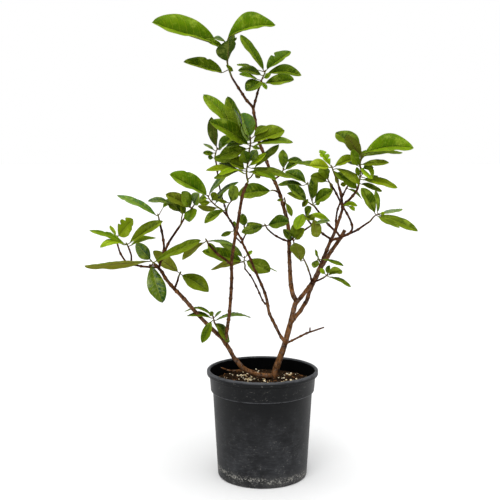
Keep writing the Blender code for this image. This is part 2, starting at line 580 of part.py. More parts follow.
def make_pot():
    """Thin-walled nursery pot with a rolled rim, a stepped collar and drain notches in its foot."""
    step = POT_HEIGHT - COLLAR_HEIGHT
    rim_foot = POT_HEIGHT - RIM_DEPTH
    rim_inner = RIM_RADIUS - RIM_THICKNESS
    profile = [(0, FLOOR), (FOOT_RADIUS - WALL - INNER_FILLET, FLOOR)]
    profile += [(FOOT_RADIUS - WALL, FLOOR + INNER_FILLET)]
    profile += [(BODY_TOP_RADIUS - WALL, step + 0.0008), (COLLAR_FOOT_RADIUS - WALL, step + LEDGE)]
    profile += [(rim_inner, POT_HEIGHT - 0.0025), (rim_inner + 0.0012, POT_HEIGHT - 0.0006)]
    profile += [(RIM_RADIUS - 0.0034, POT_HEIGHT), (RIM_RADIUS - 0.0009, POT_HEIGHT - 0.0012)]
    profile += [(RIM_RADIUS, POT_HEIGHT - 0.0036), (RIM_RADIUS - 0.0002, rim_foot + 0.0016)]
    profile += [(RIM_RADIUS - 0.0016, rim_foot), (pot_wall_radius(rim_foot), rim_foot - 0.0004)]
    profile += [(COLLAR_FOOT_RADIUS, step + 0.0014), (COLLAR_FOOT_RADIUS - 0.0012, step)]
    profile += [(BODY_TOP_RADIUS, step - 0.001)]
    corner_radius = pot_wall_radius(FOOT_ROUNDING)
    for part in range(4):
        angle = math.radians(30 * part)
        profile.append((corner_radius - FOOT_ROUNDING * (1 - math.cos(angle)),
                        FOOT_ROUNDING * (1 - math.sin(angle))))
    profile += [(0, 0)]
    pot = turned("pot_blank", profile, POT_STEPS)
    cutters = bpy.data.collections.new("cutters")
    bpy.context.scene.collection.children.link(cutters)
    notch_inner = FOOT_RADIUS - NOTCH_REACH
    slot_inner = notch_inner + CUTTER_OVERSHOOT
    for index in range(NOTCH_COUNT):
        angle = NOTCH_FIRST_ANGLE + index * math.tau / NOTCH_COUNT
        add_cutter(cutters, angle, notch_inner, FOOT_RADIUS + NOTCH_REACH, NOTCH_WIDTH, NOTCH_HEIGHT)
        add_cutter(cutters, angle, slot_inner, slot_inner + DRAIN_SLOT,
                   NOTCH_WIDTH * DRAIN_SLOT_SHARE, FLOOR + CUTTER_OVERSHOOT)
    cut = pot.modifiers.new("Drain", "BOOLEAN")
    cut.operation = "DIFFERENCE"
    cut.operand_type = "COLLECTION"
    cut.collection = cutters
    cut.solver = "EXACT"
    mesh = baked_mesh(pot)
    for piece in [pot] + list(cutters.objects):
        bpy.data.objects.remove(piece)
    finished("pot", mesh, material("pot_plastic", POT_COLOUR, 0.55))


def add_cutter(collection, angle, inner, outer, width, top):
    """Box from an inner to an outer radius at an angle, from just under the pot to its top."""
    cage = bmesh.new()
    bmesh.ops.create_cube(cage, size=1)
    for vertex in cage.verts:
        vertex.co.x = inner if vertex.co.x < 0 else outer
        vertex.co.y *= width
        vertex.co.z = -CUTTER_OVERSHOOT if vertex.co.z < 0 else top
    bmesh.ops.rotate(cage, verts=cage.verts, matrix=Matrix.Rotation(angle, 3, "Z"))
    mesh = bpy.data.meshes.new("cutter")
    cage.to_mesh(mesh)
    cage.free()
    add_object("cutter", mesh, collection)


def make_soil(root_cutters):
    """Potting soil that fills the pot, with a lumpy top and a plain hole where the wood stands."""
    inner = GAP + WALL + SOIL_CLEARANCE
    step = POT_HEIGHT - COLLAR_HEIGHT
    foot = FOOT_RADIUS - WALL - INNER_FILLET
    top_radius = pot_wall_radius(SOIL_LEVEL) - inner
    profile = []
    for ring in range(SOIL_RINGS):
        profile.append((top_radius * ring / SOIL_RINGS, SOIL_LEVEL))
    profile += [(top_radius, SOIL_LEVEL - 0.001), (COLLAR_FOOT_RADIUS - inner, step + LEDGE + 0.001)]
    profile += [(BODY_TOP_RADIUS - inner, step + 0.0012), (foot, FLOOR + 2 * INNER_FILLET)]
    profile += [(foot - INNER_FILLET, FLOOR + GAP), (0, FLOOR + GAP)]
    soil = turned("soil_blank", profile, SOIL_STEPS)
    mesh = baked_mesh(soil)
    bpy.data.objects.remove(soil)
    for vertex in mesh.vertices:
        x, y, z = vertex.co
        if z > SOIL_LEVEL - 0.0005:
            fade = 1 - (math.hypot(x, y) / top_radius) ** 4
            lump = math.sin(95 * x + 40 * y) * math.cos(83 * y - 31 * x)
            lump += SOIL_FINE_LUMP * math.sin(190 * x - 150 * y)
            vertex.co.z += SOIL_LUMP * fade * lump
    soil = add_object("soil_lumpy", mesh, workshop)
    for index, cutter in enumerate(root_cutters):
        cut = soil.modifiers.new("Root hole %d" % index, "BOOLEAN")
        cut.operation = "DIFFERENCE"
        cut.object = cutter
        cut.solver = "EXACT"
    mesh = baked_mesh(soil)
    for piece in [soil] + root_cutters:
        bpy.data.objects.remove(piece)
    finished("soil", mesh, material("potting_soil", SOIL_COLOUR, 0.95))


def stem_line(carrier_line, route, depths, diameters, spacing):
    """Centre line and radii of a stem, from its route in the front view and the line that carries it."""
    last = len(route) - 1
    guide = [stem_point(x, y, along(depths, index / last)) for index, (x, y) in enumerate(route)]
    if carrier_line:
        guide[0] = nearest(carrier_line, *route[0])
    points = smooth(guide, spacing)
    count = len(points) - 1
    radii = []
    for index in range(count + 1):
        radius = along(diameters, index / count) * MM / 2
        knot = KNOT_SWELL if index % KNOT_EVERY == 1 and index < count - 1 else 1
        radii.append(radius * knot)
    return points, radii


def refined(points):
    """A line's points with more between each two."""
    pairs = zip(points, points[1:])
    return [start.lerp(end, part / CURVE_PARTS) for start, end in pairs for part in range(CURVE_PARTS)]


def make_wood():
    """The bush's woody frame: a trunk and a limb from one foot, their stems and twigs, grown as one."""
    pieces = []
    lines = {}
    cutters = []
    for name, (carrier, route, depths, diameters) in (MAIN_STEMS | TWIGS).items():
        carrier_line = refined(lines[carrier][0]) if carrier else None
        spacing = MAIN_SPACING if name in MAIN_STEMS else TWIG_SPACING
        points, radii = stem_line(carrier_line, route, depths, diameters, spacing)
        if name == "leader":
            foot = points[0]
            tap_root = foot + Vector((-0.003, 0.002, -ROOT_DEPTH))
            points = [tap_root, foot + Vector((-0.001, 0, -ROOT_DEPTH / 3))] + points
            radii = [radii[0] * ROOT_TAPER, radii[0] * FOOT_SWELL] + radii
        if name in ("leader", "left_limb"):
            wide = [radius + GAP * ROOT_CLEARANCE for radius in radii[:HOLE_POINTS]]
            start = points[0] + (points[0] - points[1]).normalized() * GAP
            cutters.append(tube("root_cutter", [start] + points[1:HOLE_POINTS], wide, 1))
        lines[name] = (points, radii)
        pieces.append(tube(name, points, radii, 1))
    union("woody_frame", pieces, material("laurel_bark", BARK_COLOUR, 0.75))
    return lines, cutters


def blade_width(share):
    """Half width of a laurel blade, as a share of its greatest, at a share of its length."""
    return math.sin(math.pi * share ** 1.05) ** 0.52 if share else 0


def make_leaf(name, root, base, tip, seen, bow, phase):
    """One leaf: a petiole sunk in its shoot, and a folded, arched blade with a slightly waved edge."""
    chord = tip - base
    length = chord.length
    chord.normalize()
    wide = max(abs(seen), LEAF_ASPECT * length)
    to_eye = (EYE - (base + tip) / 2).normalized()
    facing = (to_eye - chord * to_eye.dot(chord)).normalized()
    upward = chord.cross(facing)
    if upward.z < 0:
        upward.negate()
    turn = math.acos(min(1, abs(seen) / wide))
    if seen < 0:
        turn = math.pi - turn
    normal = facing * math.cos(turn) + upward * math.sin(turn)
    across = chord.cross(normal)
    rows = ROWS_LONG if length > LONG_LEAF else ROWS_MEDIUM if length > SHORT_LEAF else ROWS_SHORT
    blade = bmesh.new()
    last = len(rows) + 1
    bmesh.ops.create_grid(blade, x_segments=2, y_segments=last, size=1)
    for vertex in blade.verts:
        side = round(vertex.co.x)
        row = round((vertex.co.y + 1) / 2 * last)
        if row == 0:
            vertex.co = root
        elif row == last:
            vertex.co = tip
        else:
            share = rows[row - 1]
            half = max(PETIOLE_WIDTH / 2, wide / 2 * blade_width(share))
            wave = EDGE_WAVE * half * math.sin(WAVE_STEP * row + phase) if share else 0
            fold = LEAF_FOLD if share else 0
            middle = base + chord * length * share + normal * bow * length * math.sin(math.pi * share)
            lift = half * math.sin(fold) + wave
            vertex.co = middle + across * side * half * math.cos(fold) + normal * lift * abs(side)
    bmesh.ops.remove_doubles(blade, verts=blade.verts, dist=MERGE_DISTANCE)
    bmesh.ops.triangulate(blade, faces=blade.faces)
    bmesh.ops.recalc_face_normals(blade, faces=blade.faces)
    mesh = bpy.data.meshes.new(name)
    blade.to_mesh(mesh)
    blade.free()
    leaf = add_object(name, mesh, workshop)
    shell = leaf.modifiers.new("Thickness", "SOLIDIFY")
    shell.thickness = LEAF_THICKNESS
    shell.offset = 0
    mesh = baked_mesh(leaf)
    bpy.data.objects.remove(leaf)
    return add_object(name, mesh, workshop)


def nearest(points, x, y):
    """The point of a line that is seen closest to a pixel."""
    def distance(point):
        pixel = sight(x, y, point.y / MM)
        return (pixel - point).length
    return min(points, key=distance)


def make_spray(name, carrier, shoots, tone, leaves, lines):
    """A leafy shoot, set face to face on the cut end of the stem that carries it."""
    points, radii = lines[carrier]
    heading = (points[-1] - points[-2]).normalized()
    seat = points[-1] + heading * GAP
    guide = [seat + heading * SHOOT_LEAD] + [stem_point(*place) for place in shoots[0]]
    shoot = [seat] + smooth(guide, SHOOT_SPACING)
    thick = min(radii[-1], SHOOT_RADIUS * SHOOT_HEEL)
    thin = SHOOT_RADIUS * SHOOT_TAPER
    last = len(shoot) - 1
    shoot_radii = [thick + (thin - thick) * index / last for index in range(last + 1)]
    pieces = [tube(name + "_shoot", shoot, shoot_radii, 0)]
    line = refined(shoot)[CURVE_PARTS:]
    for side_shoot in shoots[1:]:
        start = nearest(shoot[1:-1], *side_shoot[0][:2])
        branch = smooth([start] + [stem_point(*place) for place in side_shoot[1:]], SHOOT_SPACING)
        pieces.append(tube(name + "_side", branch, [thin] * len(branch), 0))
        line += refined(branch)[CURVE_PARTS:]
    for index, (x0, y0, x1, y1, seen, reach, bow) in enumerate(leaves):
        root = nearest(line, x0, y0)
        base = sight(x0, y0, root.y / MM + reach * BASE_REACH)
        tip = sight(x1, y1, root.y / MM + reach)
        if (base - root).length < PETIOLE_LENGTH:
            base = root + (tip - root).normalized() * PETIOLE_LENGTH
        pieces.append(make_leaf("%s_leaf_%d" % (name, index), root, base, tip,
                                metres(seen, base), bow, LEAF_PHASE * index))
    lines[name] = (shoot, shoot_radii)
    union(name, pieces, material(name + "_leaf", LEAF_COLOURS[tone], 0.35))


for start_object in list(bpy.data.objects):
    bpy.data.objects.remove(start_object)
model = bpy.data.collections.new(OBJECT)
workshop = bpy.data.collections.new("workshop")
bpy.context.scene.collection.children.link(model)
bpy.context.scene.collection.children.link(workshop)
make_pot()
stem_lines, hole_cutters = make_wood()
make_soil(hole_cutters)
for spray, (stem, spray_shoots, spray_tone, spray_leaves) in SPRAYS.items():
    make_spray(spray, stem, spray_shoots, spray_tone, spray_leaves, stem_lines)
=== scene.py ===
"""Potted cherry laurel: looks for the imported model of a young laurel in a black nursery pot.

Units are metres, +Z up, and -Y is the front. Stems and leaves are placed as they are seen from the
front viewpoint: a pixel (x across, y down) in a 500 x 500 view, and a depth in mm behind the pot's axis.
"""

import math
import random

import bmesh
import bpy
from mathutils import Matrix, Vector
from mathutils.kdtree import KDTree
from mathutils.noise import noise


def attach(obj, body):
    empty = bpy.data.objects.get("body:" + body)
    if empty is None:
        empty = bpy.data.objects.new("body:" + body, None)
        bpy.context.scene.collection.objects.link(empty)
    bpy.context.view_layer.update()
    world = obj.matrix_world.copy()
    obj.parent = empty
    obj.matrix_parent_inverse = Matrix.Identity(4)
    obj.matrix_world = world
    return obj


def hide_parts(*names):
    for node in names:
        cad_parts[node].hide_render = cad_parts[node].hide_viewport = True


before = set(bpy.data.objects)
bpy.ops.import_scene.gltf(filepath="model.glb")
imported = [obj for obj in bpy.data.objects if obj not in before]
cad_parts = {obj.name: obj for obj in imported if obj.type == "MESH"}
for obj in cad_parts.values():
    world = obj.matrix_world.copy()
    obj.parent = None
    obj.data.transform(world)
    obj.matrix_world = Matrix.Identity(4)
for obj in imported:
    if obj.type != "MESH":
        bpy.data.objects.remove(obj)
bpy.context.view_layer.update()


# Viewpoint
# A level-headed view a little above the leaves' middle and tipped slightly down, so that the pot's
# mouth opens as a narrow ellipse and the crown is seen from just below.
EYE = Vector((-0.0247, -1.70, 0.639))
PITCH = math.radians(6.38)
FOCAL_PIXELS = 877.7
VIEW_SIZE = 500
VIEW_CENTRE = VIEW_SIZE / 2
VIEW_REACH = 60
SENSOR = 36
MM = 0.001


def set_out(name, thing):
    """Put a camera, a lamp or a mesh in the scene as an object."""
    placed = bpy.data.objects.new(name, thing)
    bpy.context.scene.collection.objects.link(placed)
    return placed


lens = bpy.data.cameras.new("viewpoint")
lens.sensor_width = SENSOR
lens.lens = FOCAL_PIXELS / VIEW_SIZE * SENSOR
lens.clip_end = VIEW_REACH
camera = set_out("viewpoint", lens)
camera.location = EYE
camera.rotation_euler = (math.radians(90) - PITCH, 0, 0)
bpy.context.scene.camera = camera


# Floor and studio light
# A white sweep under a wide bank of lamps overhead and a small one high in front, before a white wall
# all round and under a grey ceiling. They leave one faint grey shadow around the pot's foot.
FLOOR_SIZE = 80
FLOOR_WHITE = (0.76, 0.76, 0.76, 1)
FLOOR_WHITE_WORN = (0.755, 0.755, 0.755, 1)
WALL_WHITE = (1.0, 1.0, 1.0, 1)
CEILING_GREY = (0.34, 0.345, 0.35, 1)
WALL_TOP = (0.19, 0.34)
LAMP_BANKS = {
    "overhead": (Vector((-0.02, -0.18, 1.0)), 80, 3.15),
    "front": (Vector((-0.25, -0.8, 1.0)), 25, 0.8),
}


class Shade:
    """A value in a material. Sums and products of it add Math nodes; node() adds any other node."""

    def __init__(self, socket):
        self.socket = socket

    def node(self, kind, settings, inputs, output=0):
        """Output of a new node, from its settings and the values or links of its sockets."""
        added = self.socket.id_data.nodes.new(kind)
        for name, value in settings.items():
            setattr(added, name, value)
        for name, value in inputs.items():
            if isinstance(value, Shade):
                added.id_data.links.new(value.socket, added.inputs[name])
            else:
                added.inputs[name].default_value = value
        return Shade(added.outputs[output])

    def math(self, operation, *values):
        return self.node("ShaderNodeMath", {"operation": operation}, dict(enumerate(values)))

    def __add__(self, other):
        return self.math("ADD", self, other)

    def __sub__(self, other):
        return self.math("SUBTRACT", self, other)

    def __mul__(self, other):
        return self.math("MULTIPLY", self, other)

    def __rsub__(self, other):
        return self.math("SUBTRACT", other, self)

    __radd__ = __add__
    __rmul__ = __mul__

    def apart(self, value):
        """How far this value is from another, above or below."""
        return self.math("ABSOLUTE", self - value)

    def part(self, axis):
        """This place along one axis."""
        return self.node("ShaderNodeSeparateXYZ", {}, {"Vector": self}, axis)

    def fade(self, start, end):
        """0 below start, 1 above end, smooth between."""
        return self.node("ShaderNodeMapRange", {"interpolation_type": "SMOOTHSTEP"},
                         {"Value": self, "From Min": start, "From Max": end})

    def noise(self, scale, detail=3.0, roughness=0.55, stretch=(1, 1, 1)):
        """Cloudy pattern at this place, stretched along the axes."""
        place = self.node("ShaderNodeMapping", {}, {"Vector": self, "Scale": stretch})
        return self.node("ShaderNodeTexNoise", {},
                         {"Vector": place, "Scale": scale, "Detail": detail, "Roughness": roughness})

    def blend(self, under, over, mode="MIX"):
        """Colour under, covered by colour over where this value is 1."""
        # A Mix node has its colours at inputs 6 and 7 and at output 2
        return self.node("ShaderNodeMix", {"data_type": "RGBA", "blend_type": mode},
                         {0: self, 6: under, 7: over}, 2)

    def under(self, *layers):
        """This colour below others, each given as how much it covers, its colour and how it mixes."""
        colour = self
        for cover, over, *mode in layers:
            colour = cover.blend(colour, over, *mode)
        return colour

    def bump(self, distance, strength=1.0):
        """Normals of a surface that this value lifts by a distance."""
        return self.node("ShaderNodeBump", {}, {"Height": self, "Distance": distance, "Strength": strength})


class Finish:
    """A material with one Principled shader, and where on a piece it is."""

    def __init__(self, name, roughness, specular, coat_roughness=0.03):
        self.material = bpy.data.materials.new(name)
        self.material.use_nodes = True
        self.tree = self.material.node_tree
        self.shader = self.tree.nodes["Principled BSDF"]
        self.shader.inputs["Roughness"].default_value = roughness
        self.shader.inputs["Specular IOR Level"].default_value = specular
        self.shader.inputs["Coat Roughness"].default_value = coat_roughness
        self.place = Shade(self.tree.nodes.new("ShaderNodeTexCoord").outputs["Object"])

    def attribute(self, name, output="Fac"):
        """Value or colour that is painted on the piece under this name."""
        return self.place.node("ShaderNodeAttribute", {"attribute_name": name}, {}, output)

    def wire(self, **links):
        """Connect values to the shader's sockets."""
        for socket, value in links.items():
            self.tree.links.new(value.socket, self.shader.inputs[socket.replace("_", " ")])


def dress(name, mesh, finishes, slot, *nodes):
    """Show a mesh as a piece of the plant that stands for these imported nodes."""
    piece = set_out(name, mesh)
    for finish in finishes:
        mesh.materials.append(finish.material)
    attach(piece, "root")
    if nodes:
        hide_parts(*nodes)


def to_mesh(cage, name, crease=40):
    """Mesh of a finished bmesh, shaded smooth except at creases sharper than this many degrees."""
    mesh = bpy.data.meshes.new(name)
    cage.to_mesh(mesh)
    cage.free()
    mesh.shade_smooth()
    mesh.set_sharp_from_angle(angle=math.radians(crease))
    return mesh


sweep = bmesh.new()
bmesh.ops.create_grid(sweep, x_segments=1, y_segments=1, size=FLOOR_SIZE / 2)
floor = set_out("floor", to_mesh(sweep, "floor"))
paper = Finish("white_paper", 0.9, 0.0)
paper.wire(Base_Color=paper.place.noise(0.7, 2.0).blend(FLOOR_WHITE, FLOOR_WHITE_WORN))
floor.data.materials.append(paper.material)

room = bpy.data.worlds.new("studio")
room.use_nodes = True
way = Shade(room.node_tree.nodes.new("ShaderNodeTexCoord").outputs["Generated"])
room_light = way.part("Z").fade(*WALL_TOP).blend(WALL_WHITE, CEILING_GREY)
room.node_tree.links.new(room_light.socket, room.node_tree.nodes["Background"].inputs["Color"])
bpy.context.scene.world = room
bpy.context.scene.view_settings.view_transform = "Standard"
for name, (direction, spread, power) in LAMP_BANKS.items():
    lamp = bpy.data.lights.new(name, "SUN")
    lamp.angle = math.radians(spread)
    lamp.energy = power
    set_out(name, lamp).rotation_euler = direction.to_track_quat("Z", "Y").to_euler()


# Nursery pot
# Thin black polypropylene, moulded in one piece: a rolled rim, a collar that steps out so that stacked
# pots part again, a tapered body and a flat foot with four drain notches. Scuffed, with a tide mark of
# dried hard water near the ground.
POT_HEIGHT = 0.213
RIM_RADIUS = 0.110
RIM_DEPTH = 0.0105
RIM_THICKNESS = 0.0065
RIM_CROWN = 0.0032
RIM_PARTS = 8
DRY_EDGE = 0.004
COLLAR_TOP_RADIUS = 0.1045
COLLAR_FOOT_RADIUS = 0.1022
COLLAR_HEIGHT = 0.042
BODY_TOP_RADIUS = 0.0982
COLLAR_STEP = 0.0026
RIM_FOOT = POT_HEIGHT - RIM_DEPTH
COLLAR_FOOT = POT_HEIGHT - COLLAR_HEIGHT
FOOT_RADIUS = 0.0885
FOOT_ROUNDING = 0.0045
FOOT_PARTS = 6
WALL = 0.0018
POT_FLOOR = 0.0035
POT_STEPS = 128
NOTCH_COUNT = 4
NOTCH_FIRST_ANGLE = math.radians(246)
NOTCH_WIDTH = 0.024
NOTCH_HEIGHT = 0.0024
NOTCH_REACH = 0.008
DRAIN_SLOT = 0.003
DRAIN_INSET = 0.001
DRAIN_WIDTH = 0.6 * NOTCH_WIDTH
CUT_OVERSHOOT = 0.001
TIDE_MARK = 0.0165
TIDE_SPREAD = 0.0080
SPLASH_HEIGHT = 0.034
BLACK_PLASTIC = (0.0048, 0.0051, 0.0058, 1)
# Painted shade: a darker black for the pot's inside
BLACK_PAINTED_INSIDE_SHADE = (0.0015, 0.0015, 0.0018, 1)
WORN_PLASTIC = (0.062, 0.064, 0.070, 1)
CHALKY = (0.32, 0.31, 0.28, 1)


def turned(cage, profile, steps):
    """Turn a closed surface about the pot's axis from a profile of (radius, height)."""
    corners = [cage.verts.new((radius, 0, height)) for radius, height in profile]
    edges = [cage.edges.new(pair) for pair in zip(corners, corners[1:])]
    bmesh.ops.spin(cage, geom=corners + edges, cent=(0, 0, 0), axis=(0, 0, 1), angle=math.tau,
                   steps=steps, use_merge=True)
    bmesh.ops.remove_doubles(cage, verts=cage.verts, dist=0.00002)
    bmesh.ops.recalc_face_normals(cage, faces=cage.faces)


def baked(mesh, *modifiers):
    """Mesh with modifiers applied, each given as its kind and its settings."""
    stand = set_out("stand", mesh)
    for kind, settings in modifiers:
        modifier = stand.modifiers.new(kind, kind)
        for name, value in settings.items():
            setattr(modifier, name, value)
    bpy.context.view_layer.update()
    result = bpy.data.meshes.new_from_object(stand.evaluated_get(bpy.context.evaluated_depsgraph_get()))
    bpy.data.objects.remove(stand)
    return result


def add_notch(cage, angle, inner, outer, width, top):
    """Box from an inner to an outer radius at an angle, from under the pot up to its top."""
    corners = bmesh.ops.create_cube(cage, size=1)["verts"]
    for vertex in corners:
        vertex.co.x = inner if vertex.co.x < 0 else outer
        vertex.co.y *= width
        vertex.co.z = -CUT_OVERSHOOT if vertex.co.z < 0 else top
    bmesh.ops.rotate(cage, verts=corners, matrix=Matrix.Rotation(angle, 3, "Z"))


def rounded(radius, height, *offsets):
    """Points of a profile's rounded corner, each given as how many mm it lies out and up from there."""
    return [(radius + out * MM, height + up * MM) for out, up in offsets]


def pot_profile():
    """Pot wall from the middle of its floor, up inside, over the rim, down outside and under the foot."""
    rim_inner = RIM_RADIUS - RIM_THICKNESS
    rim_middle = RIM_RADIUS - RIM_THICKNESS / 2
    profile = [(0, POT_FLOOR)] + rounded(FOOT_RADIUS - WALL, POT_FLOOR, (-2, 0), (0, 2))
    profile += rounded(BODY_TOP_RADIUS - WALL, COLLAR_FOOT, (0, 0.8))
    profile += rounded(COLLAR_FOOT_RADIUS - WALL, COLLAR_FOOT + COLLAR_STEP, (0, 0))
    profile += rounded(rim_inner, POT_HEIGHT, (-0.2, -9)) + rounded(rim_inner, POT_HEIGHT - RIM_CROWN, (0, 0))
    for part in range(1, RIM_PARTS):
        angle = math.radians(180 - part * 180 / RIM_PARTS)
        profile.append((rim_middle + RIM_THICKNESS / 2 * math.cos(angle),
                        POT_HEIGHT - RIM_CROWN + RIM_CROWN * math.sin(angle) ** 0.8))
    profile += rounded(RIM_RADIUS, POT_HEIGHT, (0, -3.4))
    profile += rounded(RIM_RADIUS, RIM_FOOT, (-0.1, 2.4), (-0.7, 0.9), (-2, 0))
    profile += rounded(COLLAR_TOP_RADIUS, RIM_FOOT, (0.8, 0), (0, -0.9))
    profile += rounded(COLLAR_FOOT_RADIUS, COLLAR_FOOT, (0.1, 1.8), (-0.4, 0.6), (-1.4, 0))
    profile += rounded(BODY_TOP_RADIUS, COLLAR_FOOT, (0.6, -0.4), (0, -1.3))
    corner = FOOT_RADIUS + (BODY_TOP_RADIUS - FOOT_RADIUS) * FOOT_ROUNDING / COLLAR_FOOT
    for part in range(FOOT_PARTS + 1):
        angle = math.radians(90 * part / FOOT_PARTS)
        drawn_in = FOOT_ROUNDING * (1 - math.cos(angle))
        profile.append((corner - drawn_in, FOOT_ROUNDING * (1 - math.sin(angle))))
    return profile + [(0, 0)]


shell = bmesh.new()
turned(shell, pot_profile(), POT_STEPS)
cutter_cage = bmesh.new()
notch_inner = FOOT_RADIUS - NOTCH_REACH
for index in range(NOTCH_COUNT):
    angle = NOTCH_FIRST_ANGLE + index * math.tau / NOTCH_COUNT
    add_notch(cutter_cage, angle, notch_inner, FOOT_RADIUS + NOTCH_REACH, NOTCH_WIDTH, NOTCH_HEIGHT)
    slot_inner = notch_inner + DRAIN_INSET
    slot_top = POT_FLOOR + CUT_OVERSHOOT
    add_notch(cutter_cage, angle, slot_inner, slot_inner + DRAIN_SLOT, DRAIN_WIDTH, slot_top)
cutter = set_out("cutter", to_mesh(cutter_cage, "cutter"))
pot_mesh = baked(to_mesh(shell, "pot_shell"), ("BOOLEAN", {"object": cutter, "use_self": True}))
bpy.data.objects.remove(cutter)

plastic = Finish("scuffed_black_plastic", 0.55, 0.11)
across, back, height = [plastic.place.part(axis) for axis in "XYZ"]
radius = across.math("SQRT", across * across + back * back)
wall_radius = height * ((COLLAR_FOOT_RADIUS - FOOT_RADIUS) / POT_HEIGHT) + (FOOT_RADIUS - WALL / 2)
outside = (radius - wall_radius).fade(-0.0006, 0.0006)
clouds = plastic.place.noise(16, 4, 0.6)
streaks = plastic.place.noise(60, 5, 0.7, (1, 1, 6))
drag_marks = plastic.place.noise(420, 3, 0.6, (0.12, 0.12, 1.6))
grain = plastic.place.noise(1400, 2)
rubs = plastic.place.noise(48, 5, 0.65)
flakes = plastic.place.noise(240, 5, 0.8)
haze_with_painted_top_shade = clouds.fade(0.35, 0.75) * 0.25 + rubs.fade(0.40, 0.70) * 0.25 + 0.06
haze_with_painted_top_shade = haze_with_painted_top_shade + streaks.fade(0.45, 0.75) * 0.30 + drag_marks.fade(0.55, 0.8) * 0.25
# Painted shade: the lighter haze is cut back towards the top, so the upper body and collar read darker, as in
# shade under the rim; this also lowers the roughness there
haze_with_painted_top_shade = haze_with_painted_top_shade * (1 - height.fade(POT_HEIGHT * 0.6, POT_HEIGHT * 0.85) * 0.85)
# Wear on the rim's top, strengthened into a painted highlight along it
rim_wear_and_painted_highlight = height.fade(POT_HEIGHT - 0.0050, POT_HEIGHT - 0.0010) * streaks.fade(0.3, 0.6) * 1.6
# A light line on the collar's lower edge: partly rubbing, partly a painted highlight
collar_wear_and_painted_highlight = (1 - height.apart(COLLAR_FOOT).fade(0.0006, 0.0022)) * streaks.fade(0.35, 0.6) * 1.5
scratches = plastic.place.noise(170, 6, 0.8, (1, 1, 1.6)).fade(0.56, 0.68)
# Painted shade: a dark band just under the rim and another just under the collar's step
painted_shade_under_rim_and_collar = 2 - height.apart(RIM_FOOT - 0.0012).fade(0.0008, 0.0028)
painted_shade_under_rim_and_collar = painted_shade_under_rim_and_collar - height.apart(COLLAR_FOOT - 0.0022).fade(0.0006, 0.0022)
tide_height = height + across * 0.045 + plastic.place.noise(30, 4, 0.6) * 0.016 - 0.008
crust = (1 - tide_height.apart(TIDE_MARK).fade(0.0, TIDE_SPREAD)) * flakes.fade(0.50, 0.58)
splashes = (1 - tide_height.fade(0.004, SPLASH_HEIGHT)) * flakes.fade(0.54, 0.68) * 0.6
foot_dust = (1 - height.fade(0.0, SPLASH_HEIGHT)) * clouds.fade(0.3, 0.7)
colour = (haze_with_painted_top_shade * outside + rim_wear_and_painted_highlight + collar_wear_and_painted_highlight).blend(BLACK_PLASTIC, WORN_PLASTIC).under(
    (scratches * outside * rubs.fade(0.42, 0.60) * 0.40, CHALKY),
    # Painted shade under the rim and under the collar, multiplied into the plastic
    (painted_shade_under_rim_and_collar * outside * 0.8, (0.2, 0.2, 0.2, 1), "MULTIPLY"),
    (crust * 0.9 + splashes, CHALKY),
    (foot_dust * 0.13, CHALKY),
)
surface = (grain * 0.35 + drag_marks * 0.5 + flakes * (crust + splashes) * 1.5).bump(0.0003, 0.5)
plastic.wire(Base_Color=colour, Roughness=0.44 + haze_with_painted_top_shade * 0.2 + crust * 0.25, Normal=surface)

# Painted shade: inward faces get a blacker finish of their own, darker than the outside as if shaded by the
# wall, with pale lime marks
inside_plastic_painted_shade = Finish("black_plastic_painted_inside_shade", 0.7, 0.03)
lime_marks = inside_plastic_painted_shade.place.noise(90, 4, 0.7).fade(0.55, 0.75)
inside_plastic_painted_shade.wire(Base_Color=lime_marks.blend(BLACK_PAINTED_INSIDE_SHADE, BLACK_PLASTIC))
# Inward faces between the floor and just under the rim take the painted inside shade
for face in pot_mesh.polygons:
    inward = face.center.x * face.normal.x + face.center.y * face.normal.y < -0.05 * face.center.xy.length
    face.material_index = 1 if inward and POT_FLOOR < face.center.z < POT_HEIGHT - DRY_EDGE else 0
dress("nursery_pot", pot_mesh, [plastic, inside_plastic_painted_shade], "pot_plastic", "pot")


# Potting soil
# Dark crumbly compost that has settled below the rim, strewn with chips of composted bark, crumbs and
# grains of cream perlite, some of which lie in clumps.
SOIL_LEVEL = 0.186
SOIL_GAP = 0.0007
SOIL_FLOOR = POT_FLOOR + 0.0003
SOIL_SETTLING = 0.0006
SOIL_LUMPS = ((0.0024, 42), (0.0014, 120), (0.0007, 300))
SOIL_RINGS = 40
SOIL_STEPS = 120
WETTED_SOIL = (0.003, 0.002, 0.001, 1)
DRY_SOIL = (0.045, 0.024, 0.011, 1)
BARK_CHIPS = 620
CHIP_LENGTHS = (0.0026, 0.0085)
CRUMBS = 900
CRUMB_SIZES = (0.0012, 0.0036)
CRUMB_SHAPE = (1, 0.9, 0.8)
PERLITE_GRAINS = 150
PERLITE_SIZES = (0.0014, 0.0060)
PERLITE_SHAPE = (1, 0.85, 0.75)
# Each clump: x, y and how many grains it has
PERLITE_CLUMPS = ((-0.025, 0.012, 14), (-0.044, 0.045, 8), (0.006, 0.010, 6), (0.054, 0.052, 7))
CLUMP_SPREAD = 0.0055
CLUMP_SIZES = (0.0028, 0.0062)
SOIL_RADIUS = COLLAR_FOOT_RADIUS - WALL - SOIL_GAP
# Each place where a stem leaves the soil: x, y and the radius that is kept clear
STEM_FEET = ((0.0205, 0.0290, 0.012), (0.012, 0.024, 0.009), (0.002, 0.014, 0.008), (-0.010, 0.006, 0.008))


def soil_height(x, y):
    """Height of the soil's lumpy surface."""
    place = Vector((x, y, 0.0))
    return SOIL_LEVEL + sum(lump * noise(place * scale) for lump, scale in SOIL_LUMPS) - SOIL_SETTLING


